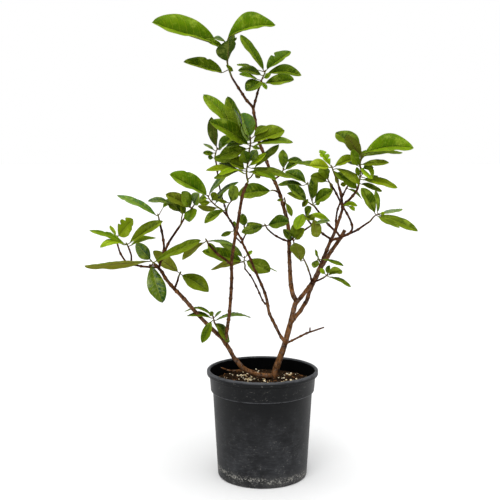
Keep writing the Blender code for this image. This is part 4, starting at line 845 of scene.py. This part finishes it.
# Each row: the stem that carries the spray, its shoots as (x, y, depth), and its leaves as base x, base y,
# tip x, tip y, seen width in pixels (negative where the underside is seen), the tip's reach away from the
# viewer in mm, the midrib's arch as a share of the length, the tone, and for some leaves how many of
# those pixels the half below the midrib takes (negative where it is folded under and shows its other side)
SPRAYS = {
    "crown_left": ("leader", [[(231, 75, 20), (229.5, 71, 18), (227.8, 65, 14), (226.5, 56, 10),
        (227, 48, 8), (228, 41, 6)]], [
        (222, 72.5, 183.5, 62, 12.5, -25, -0.02, "mid", -1.5),
        (226.5, 65, 228.5, 40, -16.5, -30, 0, "black", 4.5),
        (216, 44, 152, 22.5, 20.5, -30, -0.01, "bright", -2.5),
        (228, 37.5, 275.5, 25, 18, 15, 0.07, "bright", -2), (229, 50, 233, 34, 5, 25, 0.05, "dark"),
        (223, 47.5, 206, 39.5, 5, -20, 0, "bright", 1), (233, 71, 226, 65, 3, -16, 0.05, "olive"),
        (226, 42, 213.5, 38, 3.5, -22, 0.1, "grey", 1), (231, 44, 236.5, 37.5, 3, 12, 0, "bright", 1),
    ]),
    "crown_right": ("crown_right_twig", [[(261, 82, 66), (262.5, 78, 68), (264, 75, 69), (265, 72, 70)]], [
        (264, 72, 240.5, 34.8, 8, 15, 0, "mid", 1.5), (267, 69, 290.5, 51.3, 10, 22, 0, "green", 1),
        (266, 74.5, 301.5, 75.5, 8.5, -10, 0.09, "mid", 1), (266, 83, 294, 80, 9, -34, 0, "mid", 1),
        (264, 80, 271, 73.5, 4, -22, 0.05, "lime"), (262, 75, 238, 70.5, 7.5, -14, 0.08, "dark", 2),
        (257, 79, 239.5, 74.5, 4, -40, 0.05, "bright", 1), (261, 80.5, 246, 91, 11, -40, 0, "green", 3),
        (264, 82, 266.5, 89.5, 4, -12, 0, "lime", 1.5), (252, 68, 237, 64.5, 3.5, 22, 0.05, "green", 1),
    ]),
    "front_whorl": ("front_stem", [[(248, 181, -75), (247, 178, -75), (246.5, 172, -76), (247.5, 165, -76),
        (249, 161, -76)], [(247.5, 180, -75), (251, 177, -74), (253.5, 173, -73)]], [
        (246, 168, 229.5, 162.5, 10, -18, 0, "olive", 0.5),
        (240, 170, 206, 170.5, 5.5, -34, 0.04, "yellow", 0.5),
        (245, 170, 219, 163.5, 5, 12, 0.03, "teal", 1), (245, 173, 219.5, 175, 3.2, -46, 0.15, "lime", 0.5),
        (240, 170, 214, 178, 7, 28, 0.02, "mid", 2), (249, 168, 266, 153.5, 4.5, -24, 0.05, "lime"),
        (248, 165, 243, 151, 10, -38, 0.05, "dark"), (249, 163, 257, 150, 8, -22, 0.05, "teal"),
        (255, 167, 279, 144.5, 7, 14, 0, "mid", 2), (247, 172, 272, 178, 5.5, -34, 0.04, "olive", 0.5),
        (252, 168, 291.5, 178, 7, -10, 0.04, "olive", 2), (255, 170, 275.5, 180, 6, -50, 0.04, "bright", 2),
        (244, 161, 214, 158, 9, 18, 0.02, "mid", 3), (254, 173, 260, 178, -4, 18, 0.05, "dark"),
    ]),
    "front_crown": ("front_whorl", [[(249, 153, -77), (250, 147, -78), (250.5, 143, -79),
        (250.5, 139, -80)]], [
        (245, 139, 203.5, 94.5, 13, 12, 0.02, "bright", 3.5),
        (246.5, 140, 227.5, 96.5, 13.5, -4, -0.02, "dark", 6.5),
        (248, 146, 209.5, 121.5, 14.5, -40, 0.03, "mid", 3.5),
        (250, 139, 233.5, 108.5, 5, -50, 0, "teal", 2), (251.5, 137, 241, 113.5, 12, -36, 0, "shiny", 1),
        (249, 141, 241, 127, 5, -46, 0, "grey", 2), (254, 136, 268.5, 126.5, 7, 22, 0, "olive", 1),
        (253, 144, 284.5, 130.5, 12.5, 12, 0, "olive", 1),
        (254, 146, 293, 142.5, 5.5, -22, 0.085, "green", 0.8),
        (246, 143, 226, 147.5, 5.5, -26, 0.05, "teal", 1), (248, 147, 219, 157, 12, -10, 0.02, "mid", 4),
        (253, 146, 260, 149, 3, -14, 0.05, "green"),
    ]),
    "back_thin": ("back_thin_twig", [[(215, 157, 141), (216, 152, 142), (217, 149.5, 142)]], [
        (216, 149, 211.5, 117, -10, -16, 0, "black", 6), (216, 147, 233, 136.5, 9, 24, 0, "mid", 2),
        (220, 150, 220.5, 141, 3.5, -18, 0, "grey", 1.5), (219, 150, 228, 143, 3, -18, 0.15, "green"),
        (214, 153, 203, 153, 4, -18, 0.05, "mid"), (216, 150.5, 203.5, 144, 3, 6, 0.05, "teal", 1),
        (214.5, 159, 208, 156.5, 4, -14, 0.05, "dark"),
    ]),
    "back_bright": ("back_stem", [[(217, 206.5, 103), (213, 203, 105), (210, 200, 106),
        (208.5, 197, 107)]], [
        (206.5, 195, 169.5, 174.5, 13.5, -26, 0, "bright", 0.6),
        (210.5, 202, 199.5, 203, 6, -28, 0, "olive", 3),
        (220, 208.5, 197.5, 206, -6.5, 18, 0, "olive", 4.5),
        (212, 202, 216, 192.5, 8.5, -22, 0, "olive", 4), (209.5, 193, 231, 171, 6, -44, 0.04, "teal", 1.5),
        (214, 198, 238.5, 182.3, 4.5, -44, 0.04, "teal", 1), (208.5, 199, 200, 197.5, 4, -14, 0, "lime", 1),
        (216, 203, 224, 190, 4, -18, 0.05, "grey"),
    ]),
    "back_middle": ("back_middle_twig", [[(227.5, 207, 84), (229, 204, 82), (231, 201.5, 80)]], [
        (226, 208, 204.5, 223.5, 7, -22, 0.04, "mid", 1), (231, 203, 236.5, 186, 11, -28, 0, "dark", 5),
        (229, 202.5, 216.5, 200, 3, -20, 0.05, "brown"),
    ]),
    "leader_low_leaf": ("leader_low_leaf_twig", [[(274.5, 190.6, 42), (273, 190.4, 40)]], [
        (272, 190.5, 238, 195, 14, -14, 0.02, "mid", 4),
    ]),
    "leader_side": ("leader_side_twig", [[(281.5, 173, 46), (283, 170.5, 45)]], [
        (281.5, 169, 283, 149.5, 9.5, 12, 0, "dark", 4), (284, 168.5, 300, 161, 6, -18, 0, "dark", 1),
        (286, 161.5, 302.5, 161.5, 5, -14, 0.05, "dark", 1),
    ]),
    "leader_bud": ("leader_bud_twig", [[(285, 200.5, 44), (284.7, 199, 42)]], [
        (284.5, 200, 291.5, 216.5, 4, -22, 0.1, "olive"),
        (283.5, 199.5, 277, 200.5, 2.5, -10, 0.05, "olive"),
    ]),
    "middle": ("middle_twig", [[(267, 228.3, 34), (265.5, 225.5, 32)]], [
        (263.5, 225.5, 241.5, 232.5, 7.5, -16, 0.06, "dark"),
        (266, 224, 289, 222, 11.5, -24, 0.02, "dark", 3), (264.5, 224.5, 247, 223, 2.5, 14, 0.05, "olive"),
    ]),
    "behind_middle": ("behind_middle_twig", [[(246, 232, 74), (244.5, 228, 72)]], [
        (243.5, 227.5, 242, 213.5, 7, -18, 0.05, "green"),
        (245.5, 227, 252.5, 222.5, 4, -16, 0.05, "olive"), (244.5, 226, 245.5, 217, 4, 14, 0.05, "black"),
    ]),
    "behind_small": ("behind_small_twig", [[(234.2, 233, 110), (234, 230.5, 111)]], [
        (233, 230.5, 221, 236, 4, -10, 0.05, "green"), (234.3, 229.5, 234, 221, 4, 14, 0.05, "green"),
    ]),
    "low_back": ("low_back_twig", [[(245, 265, 121), (244, 262, 122), (244.5, 258, 122)]], [
        (242, 260.5, 202, 251.5, 12, -20, 0, "mid", 3), (242, 262, 211, 270, -6, -12, 0.07, "olive", 2),
        (247, 261, 270, 271.8, 14.5, -28, 0, "olive", 5.5), (245.5, 259, 252, 250.5, 3, 16, 0.05, "lime"),
        (243, 257, 217.5, 240.5, 8, 20, 0.05, "dark", 3), (247, 261, 277, 271.5, 2, 12, 0.05, "green", 0.7),
    ]),
    "left_small": ("left_small_twig", [[(207.5, 242.5, -63), (206.5, 240.5, -64)]], [
        (205, 241, 182.5, 260, -6, 14, 0.14, "olive"),
        (207.5, 238.5, 233, 244.5, 2.6, -18, 0.07, "teal", 0.9),
        (206, 241.5, 216.5, 254, 8, 16, -0.02, "olive", 4),
    ]),
    "left_high": ("left_high_twig", [[(159, 219, -30), (158.3, 216, -30)]], [
        (156, 214, 117, 195.5, 7, -6, 0.05, "shiny", 1.5), (163, 207.5, 176, 202, 5.5, 26, 0.1, "green", 1),
    ]),
    "left_fan": ("left_fan_twig", [[(183, 220.5, -43), (187, 214, -44), (191, 209, -45), (193, 206.5, -46)],
        [(181, 224.5, -43), (181.5, 218.5, -46), (182.5, 214, -47)]], [
        (172, 204, 148, 201.3, 5, -30, 0.08, "teal", 1),
        (190, 207, 165.5, 194.5, 10, -18, 0.02, "brown", 2.5),
        (190.5, 206.5, 181.5, 191.8, 11, -36, 0, "green", 4),
        (192.5, 205.5, 199.5, 193.5, 9, -22, 0, "grey", 2),
        (193.5, 205.5, 204, 193.5, 4.5, 16, 0, "black", 3.5),
        (194, 207.5, 189.5, 222, 11, -38, 0, "green", 4), (184.5, 214, 168, 198, 12, 8, 0, "dark", 4),
        (189, 216, 180.5, 205, 6, -20, 0, "olive", 2.5),
    ]),
    "left_end": ("left_limb", [[(153, 262.5, -51), (151.5, 261, -52)]], [
        (150, 260.5, 136, 243.5, 11, -36, 0.06, "teal"), (149.5, 263, 84.5, 266, -6.5, -60, 0, "olive", 3),
        (151.5, 266, 162.5, 302.8, 17, -38, -0.02, "deep", 8),
        (154.5, 260.5, 201, 240.5, 9, -26, 0.02, "olive", 2),
    ]),
    "far_left_top": ("far_left_top_twig", [[(117, 241, 2), (117, 237.5, 3)]], [
        (117.8, 236, 133, 219, 15, -24, 0, "yellow", 6), (115.5, 238, 104.5, 234, 5.5, -8, 0, "lime", 2),
        (116.5, 235.5, 110, 225.5, 3, 16, 0.05, "yellow"),
    ]),
    "far_left": ("far_left_twig", [[(128, 246.5, -42), (127, 244.5, -43)]], [
        (125.5, 243.5, 89.5, 230.5, 6, -12, 0.07, "bright", 2),
        (125.5, 246, 100, 247.5, 5, -34, 0.17, "lime", 1.5),
        (128.5, 243, 163, 221, 9.5, 8, 0.02, "olive", 1.5), (129, 245.5, 156, 238, 5, 18, 0.1, "lime", 1),
    ]),
    "left_low": ("left_low_twig", [[(179, 275.5, -27), (180, 273.5, -27)]], [
        (178.5, 272.5, 153, 251, -10, 10, 0.06, "olive"),
        (182, 274, 208.5, 292, 14.5, -28, 0.02, "olive", 5),
    ]),
    "low_left": ("low_left_twig", [[(214, 321, -20), (213.5, 318, -21)]], [
        (212, 315, 184.5, 311.5, 2.6, 14, 0.2, "mid", 0.8),
        (211.5, 318.5, 187, 316, 5, 16, 0.12, "bright", 1.5),
        (215.5, 318.5, 210.5, 311.5, 5, -14, 0, "dark", 2.5),
        (216.5, 319, 250.5, 317.5, 3, 30, 0.14, "teal", 1),
        (215.5, 321, 229.5, 342, 9.5, 45, 0.05, "mid", 4), (211, 321.5, 202, 343, 7.5, -16, 0.05, "mid"),
        (215.5, 318, 221.5, 311, 2.6, -14, 0.05, "grey", 1),
    ]),
    "centre_dark": ("centre_dark_twig", [[(294, 243.5, 20), (293.5, 241, 18)]], [
        (291, 241.5, 283, 229.5, 7, -16, 0, "black", 3),
        (293.5, 239.5, 294.5, 223.5, 7.5, -14, 0, "mid", 3.5),
        (295, 241.5, 304.5, 228.5, 8, -24, 0, "olive", 3),
    ]),
    "centre_olive": ("centre_olive_twig", [[(310.5, 226, -9), (312, 224.5, -12)]], [
        (313.5, 222.5, 330, 221, 4, -24, 0.05, "grey", 1), (313.5, 220, 318, 237, -11, -36, 0, "olive", 5),
    ]),
    "centre_lime": ("centre_lime_twig", [[(306.5, 218.8, 22), (304.5, 216, 23)]], [
        (303.5, 213.5, 311.5, 207, 7, -26, 0, "green", 2),
        (303.5, 214.5, 330.5, 221.5, 5.5, 12, 0.1, "lime", 1),
        (302.5, 214, 296.5, 229.5, 11, -32, 0, "lime", 5),
        (304.5, 216, 314, 220.5, 6.5, -26, 0, "olive", 1.5),
    ]),
    "round_leaf": ("round_leaf_twig", [[(307.5, 267, -12), (305, 261.5, -16), (303.5, 258.5, -18)]], [
        (300.8, 261, 295.5, 242.8, -13.5, -28, 0, "olive", 6),
    ]),
    "right_middle": ("right_middle_twig", [[(311.5, 204.5, 61), (308, 202, 62)], [(313, 205.8, 60.5),
        (309.5, 193, 64), (308, 184, 66)]], [
        (309.5, 201, 287, 185, 8.5, -14, 0, "dark", 1),
        (308, 203, 287, 193.5, 4.5, -34, 0.02, "brown", 0.5),
        (311, 201.5, 314.5, 174, 9, -18, 0, "dark", 4), (313.5, 203, 333, 190.5, 10, -30, 0, "mid", 2),
        (307, 183.5, 285.5, 171.5, 9.5, 22, 0, "dark", 1), (302, 185.5, 278, 185, 5, 18, 0.06, "dark", 0.6),
        (308, 199, 302.5, 207, 5, -6, 0, "olive", 2), (314, 205, 320, 202.5, 3, -12, 0.05, "lime"),
    ]),
    "far_right": ("far_right_twig", [[(373, 217.5, 60), (376, 215, 61), (378, 214.3, 61)]], [
        (374.5, 214, 361, 188, 10, -8, 0, "mid", 2), (378, 213, 375.5, 190, 4.5, 20, 0, "green", 0.5),
        (380, 213.8, 402.5, 209.3, 3, 16, 0.05, "grey"), (379, 216, 418, 231.3, 8, -22, 0.02, "olive", 1.5),
        (376.5, 217, 399.5, 228, 5.5, -46, 0, "olive", 1.5), (379.5, 214, 385, 213, 3, -14, 0.05, "lime"),
    ]),
    "right_crown": ("right_stem", [[(337.5, 181.5, -47), (336, 178, -48), (334, 173, -49),
        (332, 167.5, -50)]], [
        (331, 168, 309.5, 165.5, 9, -14, 0, "yellow", 1), (332, 166, 319.5, 150, 7.5, 12, 0, "lime", 2),
        (333.5, 166, 355.5, 157.5, 7.5, -18, 0.02, "yellow", 1),
        (336, 168.5, 359.5, 184.5, 7.5, -32, 0.12, "olive", 3.8),
        (339, 175.5, 357, 188, 8.5, 10, 0.04, "bright", 4),
        (330.5, 169, 295, 162.5, 5.5, 26, 0.02, "dark", 1),
        (334, 168, 343.5, 181, 5, -20, 0.05, "mid", 2.5), (334, 172, 341, 178, 5, 14, 0, "bright", 2),
        (335, 174, 338.5, 184, 4, 12, 0, "yellow", 2),
    ]),
    "right_behind": ("right_behind_twig", [[(330, 183.3, -15), (328.5, 180.5, -16)]], [
        (332, 181.5, 310.5, 176, 9.5, 4, 0, "olive", 3), (329, 180, 321, 167, 10.5, 12, 0, "mid", 4),
        (330, 180, 333, 190, 3, 22, 0.05, "yellow"), (330.8, 181.5, 322.5, 168, 8, 6, 0, "olive", 4),
    ]),
    "right_inner": ("right_inner_twig", [[(347.3, 187, -22), (348.5, 184.5, -22)]], [
        (347, 190.5, 361.5, 199, 2.5, 18, 0.12, "mid", 0.8), (347.5, 183, 338, 172, 7, 12, 0.05, "mid", 2),
        (348.8, 183, 345, 170, 6, -14, 0.05, "dark"), (348.5, 184, 340.5, 184.5, 4.5, -8, 0, "olive", 2),
        (349, 183, 352, 173, 5, 16, 0, "mid", 2),
    ]),
    "right_step": ("right_step_twig", [[(359, 183.5, -56), (360, 178, -57), (361, 172.5, -58)]], [
        (361.5, 180, 397.5, 188, 7, -22, 0.06, "yellow", 2), (360.5, 183.5, 382, 191, 5, 18, 0, "olive", 1),
        (367, 178, 378, 176, 2.5, 18, 0.05, "mid", 1), (361.5, 180, 356.5, 167, 5, -12, 0, "bright", 2.5),
        (361.5, 178, 365.5, 171, 3.5, 10, 0, "green", 1.5),
    ]),
    "right_top": ("right_step", [[(360, 165, -59), (361, 158, -60), (361.5, 154, -61)]], [
        (360.5, 152.5, 336, 132.3, 14, 26, 0, "mid", 2),
        (359.5, 158.5, 347.5, 134.5, -12.5, -46, 0, "dark", 6),
        (359.5, 166, 351, 150.5, 8, -34, 0.05, "bright"),
        (364.5, 154, 413.8, 148, 14.5, -16, 0.08, "bright", 0.6),
        (363.5, 156, 402.5, 152.8, 5, 28, 0.05, "mid", 0.5),
        (362.5, 164, 389, 163, 6, -38, 0.02, "olive", 1.5),
        (362, 166.5, 372.3, 179, 4.5, -14, 0.36, "lime", 2), (358.5, 166.5, 372, 179, 4, -40, 0, "lime", 2),
        (361.5, 162, 366, 150, 5, 10, 0.05, "bright", 2), (358, 166.5, 347, 162, 3, 16, 0.05, "teal", 1),
        (362.5, 167, 373.5, 167.5, 6, 14, 0.1, "mid", 2),
    ]),
    "right_lime": ("right_lime_twig", [[(347, 205.4, -42), (347.8, 205.6, -44)]], [
        (343.5, 205.5, 357.5, 206, 4, -14, 0.12, "lime", 1),
        (345.5, 206.5, 354.5, 211, 3.5, -26, 0.05, "lime", 1),
    ]),
    "right_low": ("right_low_twig", [[(325, 276.7, -10), (326.5, 275.5, -11)]], [
        (327.5, 276, 351, 287, 3.6, -16, 0.08, "mid", 1), (327, 274.5, 342, 270.5, 7.5, 14, 0, "olive", 1),
        (325.5, 275, 320, 268.5, 4, -16, 0.05, "lime"), (327, 274, 330, 265.5, 5, -14, 0, "green", 1.5),
    ]),
    "right_inside": ("right_inside_twig", [[(318.5, 258.8, -20), (318.2, 257.5, -21)]], [
        (318, 257.5, 314, 268, 7, -14, 0, "dark", 3), (320.5, 258, 315, 249.5, 2.8, -14, 0, "bright", 1),
        (323, 259.5, 343.5, 266, 3.2, -24, 0.06, "mid", 0.8),
    ]),
}


def metres(pixels, point):
    """Real length of a stretch of pixels seen at a point."""
    return pixels * (point.y - EYE.y) / (FOCAL_PIXELS * math.cos(PITCH))


def add_leaf(cage, layers, row, root, bites, rng):
    """Add one blade to a spray, and return the line and radii of its stalk and midrib."""
    x0, y0, x1, y1, seen, reach, bow, tone, *near = row
    base = sight(x0, y0, root.y / MM + reach * BASE_REACH)
    tip = sight(x1, y1, root.y / MM + reach)
    if (base - root).length < STALK_LENGTH:
        base = root + (tip - root).normalized() * STALK_LENGTH
    chord = tip - base
    length = chord.length
    chord.normalize()
    to_eye = (EYE - (base + tip) / 2).normalized()
    facing = (to_eye - chord * to_eye.dot(chord)).normalized()
    upward = chord.cross(facing)
    if upward.z < 0:
        upward.negate()
    shown = metres(abs(seen), base)
    if near:
        far = shown - metres(abs(near[0]), base)
        middle = upward * bow * length
    else:
        shown *= FULLNESS
        lean = math.acos(min(1, shown / (LEAF_ASPECT * length)))
        far = shown * (0.5 + FAR_SHARE * lean / (math.pi / 2))
        middle = upward * (bow * length * math.sin(lean) - far + shown / 2)
    if seen < 0:
        facing.negate()
    half = max(LEAF_ASPECT * length / 2, far * SPARE_WIDTH, (shown - far) * SPARE_WIDTH)
    far_turn = math.acos(far / half)
    near_turn = math.acos((shown - far) / half)
    if near and near[0] < 0:
        near_turn = math.pi - near_turn
    lean = (far_turn + near_turn) / 2
    fold = (near_turn - far_turn) / 2
    normal = (facing * math.cos(lean) + upward * math.sin(lean)).normalized()
    middle += facing * ARCH * length * math.cos(lean)
    twist = math.radians(rng.uniform(-TWIST, TWIST))
    widest = rng.uniform(*WIDEST)
    blunt = rng.uniform(*BLUNTNESS)
    phase = rng.uniform(0, math.tau)

    def spine(share):
        """Point of the midrib."""
        return base + chord * length * share + middle * math.sin(math.pi * share)

    upper, lower, gloss = TONES[tone]
    shift = rng.uniform(*BRIGHTNESS)
    warm = rng.uniform(*WARMTH)
    painted = {"gloss": gloss}
    for face_side, colour in (("upper", upper), ("lower", lower)):
        painted[face_side] = (colour[0] * shift * warm, colour[1] * shift, colour[2] * shift, 1)
    blade = bmesh.ops.create_grid(cage, x_segments=LEAF_ACROSS, y_segments=LEAF_ALONG, size=1)["verts"]
    faces = list({face for vertex in blade for face in vertex.link_faces})
    for face in faces:
        for loop in face.loops:
            loop[layers["blade"]].uv = ((loop.vert.co.x + 1) / 2, (loop.vert.co.y + 1) / 2)
    for vertex in blade:
        side = vertex.co.x
        share = (vertex.co.y + 1) / 2
        width = half * math.sin(math.pi * share ** widest) ** blunt if 0 < share < 1 else 0
        width = max(width, LEAF_FOOT * (1 - share))
        for place, bitten, depth in bites:
            if side * bitten > 0:
                width *= 1 - depth * math.exp(-((share - place) / BITE_LENGTH) ** 2)
        turn = lean + twist * (share - 0.4) + (fold if side < 0 else -fold) * (1.2 - 0.45 * share)
        way = (upward * math.cos(turn) - facing * math.sin(turn)) * side
        out = facing * math.cos(turn) + upward * math.sin(turn)
        vein_place = (share - 0.13 * abs(side) + (0.03 if side > 0 else 0)) * SIDE_VEINS
        between_veins = math.sin(math.pi * (vein_place % 1)) * math.sin(math.pi * min(1, abs(side) * 1.05))
        dome = QUILT * (1 + gloss) * between_veins
        ripple = math.sin(9 * share + phase + side) + 0.35 * math.sin(23 * share + 2 * phase)
        wave = EDGE_WAVE * width * side * side * ripple
        vertex.co = spine(share) + way * width + out * (dome + wave - EDGE_ROLL * width * side ** 4)
        for layer, value in painted.items():
            vertex[layers[layer]] = value
    for face in faces:
        face.normal_update()
    if sum(face.normal.dot(normal) for face in faces) < 0:
        bmesh.ops.reverse_faces(cage, faces=faces)
    rib = [root, root.lerp(base, 0.5) - normal * RIB_SINK * 2]
    rib += [spine(share) - normal * (LEAF_THICKNESS + RIB_SINK) for share in (0, 0.12, 0.3, 0.5, 0.7, 0.9)]
    rib = smooth(rib, SHOOT_SPACING)
    return rib, [STALK_RADIUS * (1 - 0.8 * index / (len(rib) - 1)) for index in range(len(rib))]


def veins(finish):
    """A blade's place across, how far off the midrib it is, its midrib and its side veins."""
    blade = finish.place.node("ShaderNodeUVMap", {"uv_map": "blade"}, {})
    across = blade.part("X")
    off_rib = across.apart(0.5) * 2
    slant = off_rib * 0.10 + off_rib * off_rib * 0.06 - across.fade(0.499, 0.501) * 0.045
    row = (blade.part("Y") - slant) * SIDE_VEINS
    gap = row.math("FRACT", row).apart(0.5)
    side_vein = (1 - gap.fade(0.02, 0.13)) * (1 - off_rib.fade(0.75, 1.0))
    return across, off_rib, 1 - off_rib.fade(0.02, 0.08), side_vein


def sheen(finish):
    """Patches where a blade catches the light."""
    return finish.place.noise(44, 5, 0.7).fade(0.50, 0.64)


upper_finish = Finish("laurel_leaf_upper", 0.3, 0.015, 0.20)
across, off_rib, rib_line, side_vein = veins(upper_finish)
gloss = upper_finish.attribute("gloss")
mottle = upper_finish.place.noise(75, 4, 0.6)
patches = upper_finish.place.noise(28, 2, 0.5)
specks = upper_finish.place.noise(330, 3, 0.6).fade(0.735, 0.76)
# Painted light: the half of each blade below its midrib is tinted paler, as if that half of the fold caught
# more light
near_half_painted_light = 1 - across.fade(0.49, 0.50)
upper_colour = upper_finish.attribute("upper", "Color").under(
    (patches.fade(0.35, 0.65) * 0.9, (0.58, 0.66, 0.6, 1), "MULTIPLY"),
    (mottle.fade(0.45, 0.70) * 0.45, (0.14, 0.20, 0.004, 1)),
    (sheen(upper_finish) * 0.36, (0.36, 0.46, 0.045, 1)),
    (off_rib.fade(0.0, 0.35) * -0.35 + 0.35, (0.60, 0.68, 0.6, 1), "MULTIPLY"),
    # Painted light on the lower half of the blade
    (near_half_painted_light * 0.20, (0.28, 0.38, 0.01, 1)),
    (side_vein * (0.34 + gloss * 0.35), (0.22, 0.30, 0.01, 1)),
    (rib_line * (0.40 + gloss * 0.30), (0.28, 0.35, 0.03, 1)),
    (off_rib.fade(0.92, 0.99) * 0.45, (0.22, 0.26, 0.02, 1)),
    (specks * 0.7, (0.05, 0.03, 0.006, 1)),
)
relief = rib_line * -1.2 - side_vein * 0.9 + upper_finish.place.noise(650, 3, 0.6) * 0.25
upper_finish.wire(Base_Color=upper_colour, Coat_Weight=gloss * (0.5 + mottle * 0.7),
                  Roughness=0.52 - gloss * 0.18, Normal=relief.bump(0.0010, 0.9))

lower_finish = Finish("laurel_leaf_underside", 0.6, 0.015)
rib_line, side_vein = veins(lower_finish)[2:]
net = lower_finish.place.noise(520, 4, 0.6)
lower_colour = lower_finish.attribute("lower", "Color").under(
    (net.fade(0.45, 0.7) * 0.25, (0.60, 0.66, 0.50, 1), "MULTIPLY"),
    (sheen(lower_finish) * 0.28, (0.36, 0.42, 0.08, 1)),
    (side_vein * 0.45, (0.60, 0.62, 0.40, 1), "MULTIPLY"),
    (rib_line * 0.55, (0.30, 0.32, 0.06, 1)),
)
relief = side_vein + rib_line * 1.5 + net * 0.3
lower_finish.wire(Base_Color=lower_colour, Normal=relief.bump(0.0004, 0.6))

shoot_finish = Finish("young_shoot", 0.5, 0.1)
shoot_mix = shoot_finish.place.noise(110, 3, 0.6).fade(0.35, 0.65)
shoot_finish.wire(Base_Color=shoot_mix.blend((0.110, 0.120, 0.012, 1), (0.085, 0.030, 0.012, 1)),
                  Normal=shoot_finish.place.noise(900, 3).bump(0.0002, 0.5))
leaf_finishes = [upper_finish, lower_finish, shoot_finish]

for spray, (carrier, shoots, rows) in SPRAYS.items():
    rng = random.Random(spray)
    carrier_line = stem_lines[carrier]
    heading = (carrier_line[-1] - carrier_line[-3]).normalized()
    seat = carrier_line[-1] + heading * STEM_GAP
    guide = [seat, seat + heading * 0.003] + [stem_point(*place) for place in shoots[0]]
    shoot = smooth(guide, SHOOT_SPACING)
    taper = 0.45 / (len(shoot) - 1)
    twigs = [(shoot, [SHOOT_RADIUS * (1.25 - taper * index) for index in range(len(shoot))])]
    line = shoot[1:]
    for side_shoot in shoots[1:]:
        start = nearest(shoot[1:-1], *side_shoot[0][:2])
        branch = smooth([start] + [stem_point(*place) for place in side_shoot[1:]], SHOOT_SPACING)
        twigs.append((branch, [SIDE_SHOOT_RADIUS] * len(branch)))
        line = line + branch[1:]
    stem_lines[spray] = shoot
    for points, radii in list(twigs):
        bud_way = (points[-1] - points[-2]).normalized() * BUD_LENGTH
        bud = [points[-1] + bud_way * share for share, _ in BUD_SWELL]
        twigs.append((bud, [radii[-1] * swell for _, swell in BUD_SWELL]))
    cage = bmesh.new()
    layers = {
        "blade": cage.loops.layers.uv.new("blade"),
        "upper": cage.verts.layers.float_color.new("upper"),
        "lower": cage.verts.layers.float_color.new("lower"),
        "gloss": cage.verts.layers.float.new("gloss"),
    }
    for index, row in enumerate(rows):
        bites = BITES.get((spray, index), ())
        twigs.append(add_leaf(cage, layers, row, nearest(line, *row[:2]), bites, rng))
    sheets = bpy.data.meshes.new(spray)
    cage.to_mesh(sheets)
    cage.free()
    for finish in leaf_finishes:
        sheets.materials.append(finish.material)
    blades = baked(sheets, ("SOLIDIFY", {"thickness": LEAF_THICKNESS, "offset": -1, "material_offset": 1,
                                         "material_offset_rim": 1}))
    cage = bmesh.new()
    cage.from_mesh(rods(spray + "_stalks", twigs, STALK_SIDES))
    for face in cage.faces:
        face.material_index = leaf_finishes.index(shoot_finish)
    cage.from_mesh(blades)
    bmesh.ops.remove_doubles(cage, verts=cage.verts, dist=0.000002)
    dress("leaves_" + spray, to_mesh(cage, "leaves_" + spray, LEAF_CREASE), leaf_finishes,
          "spray_" + spray + "_leaf", "spray_" + spray)
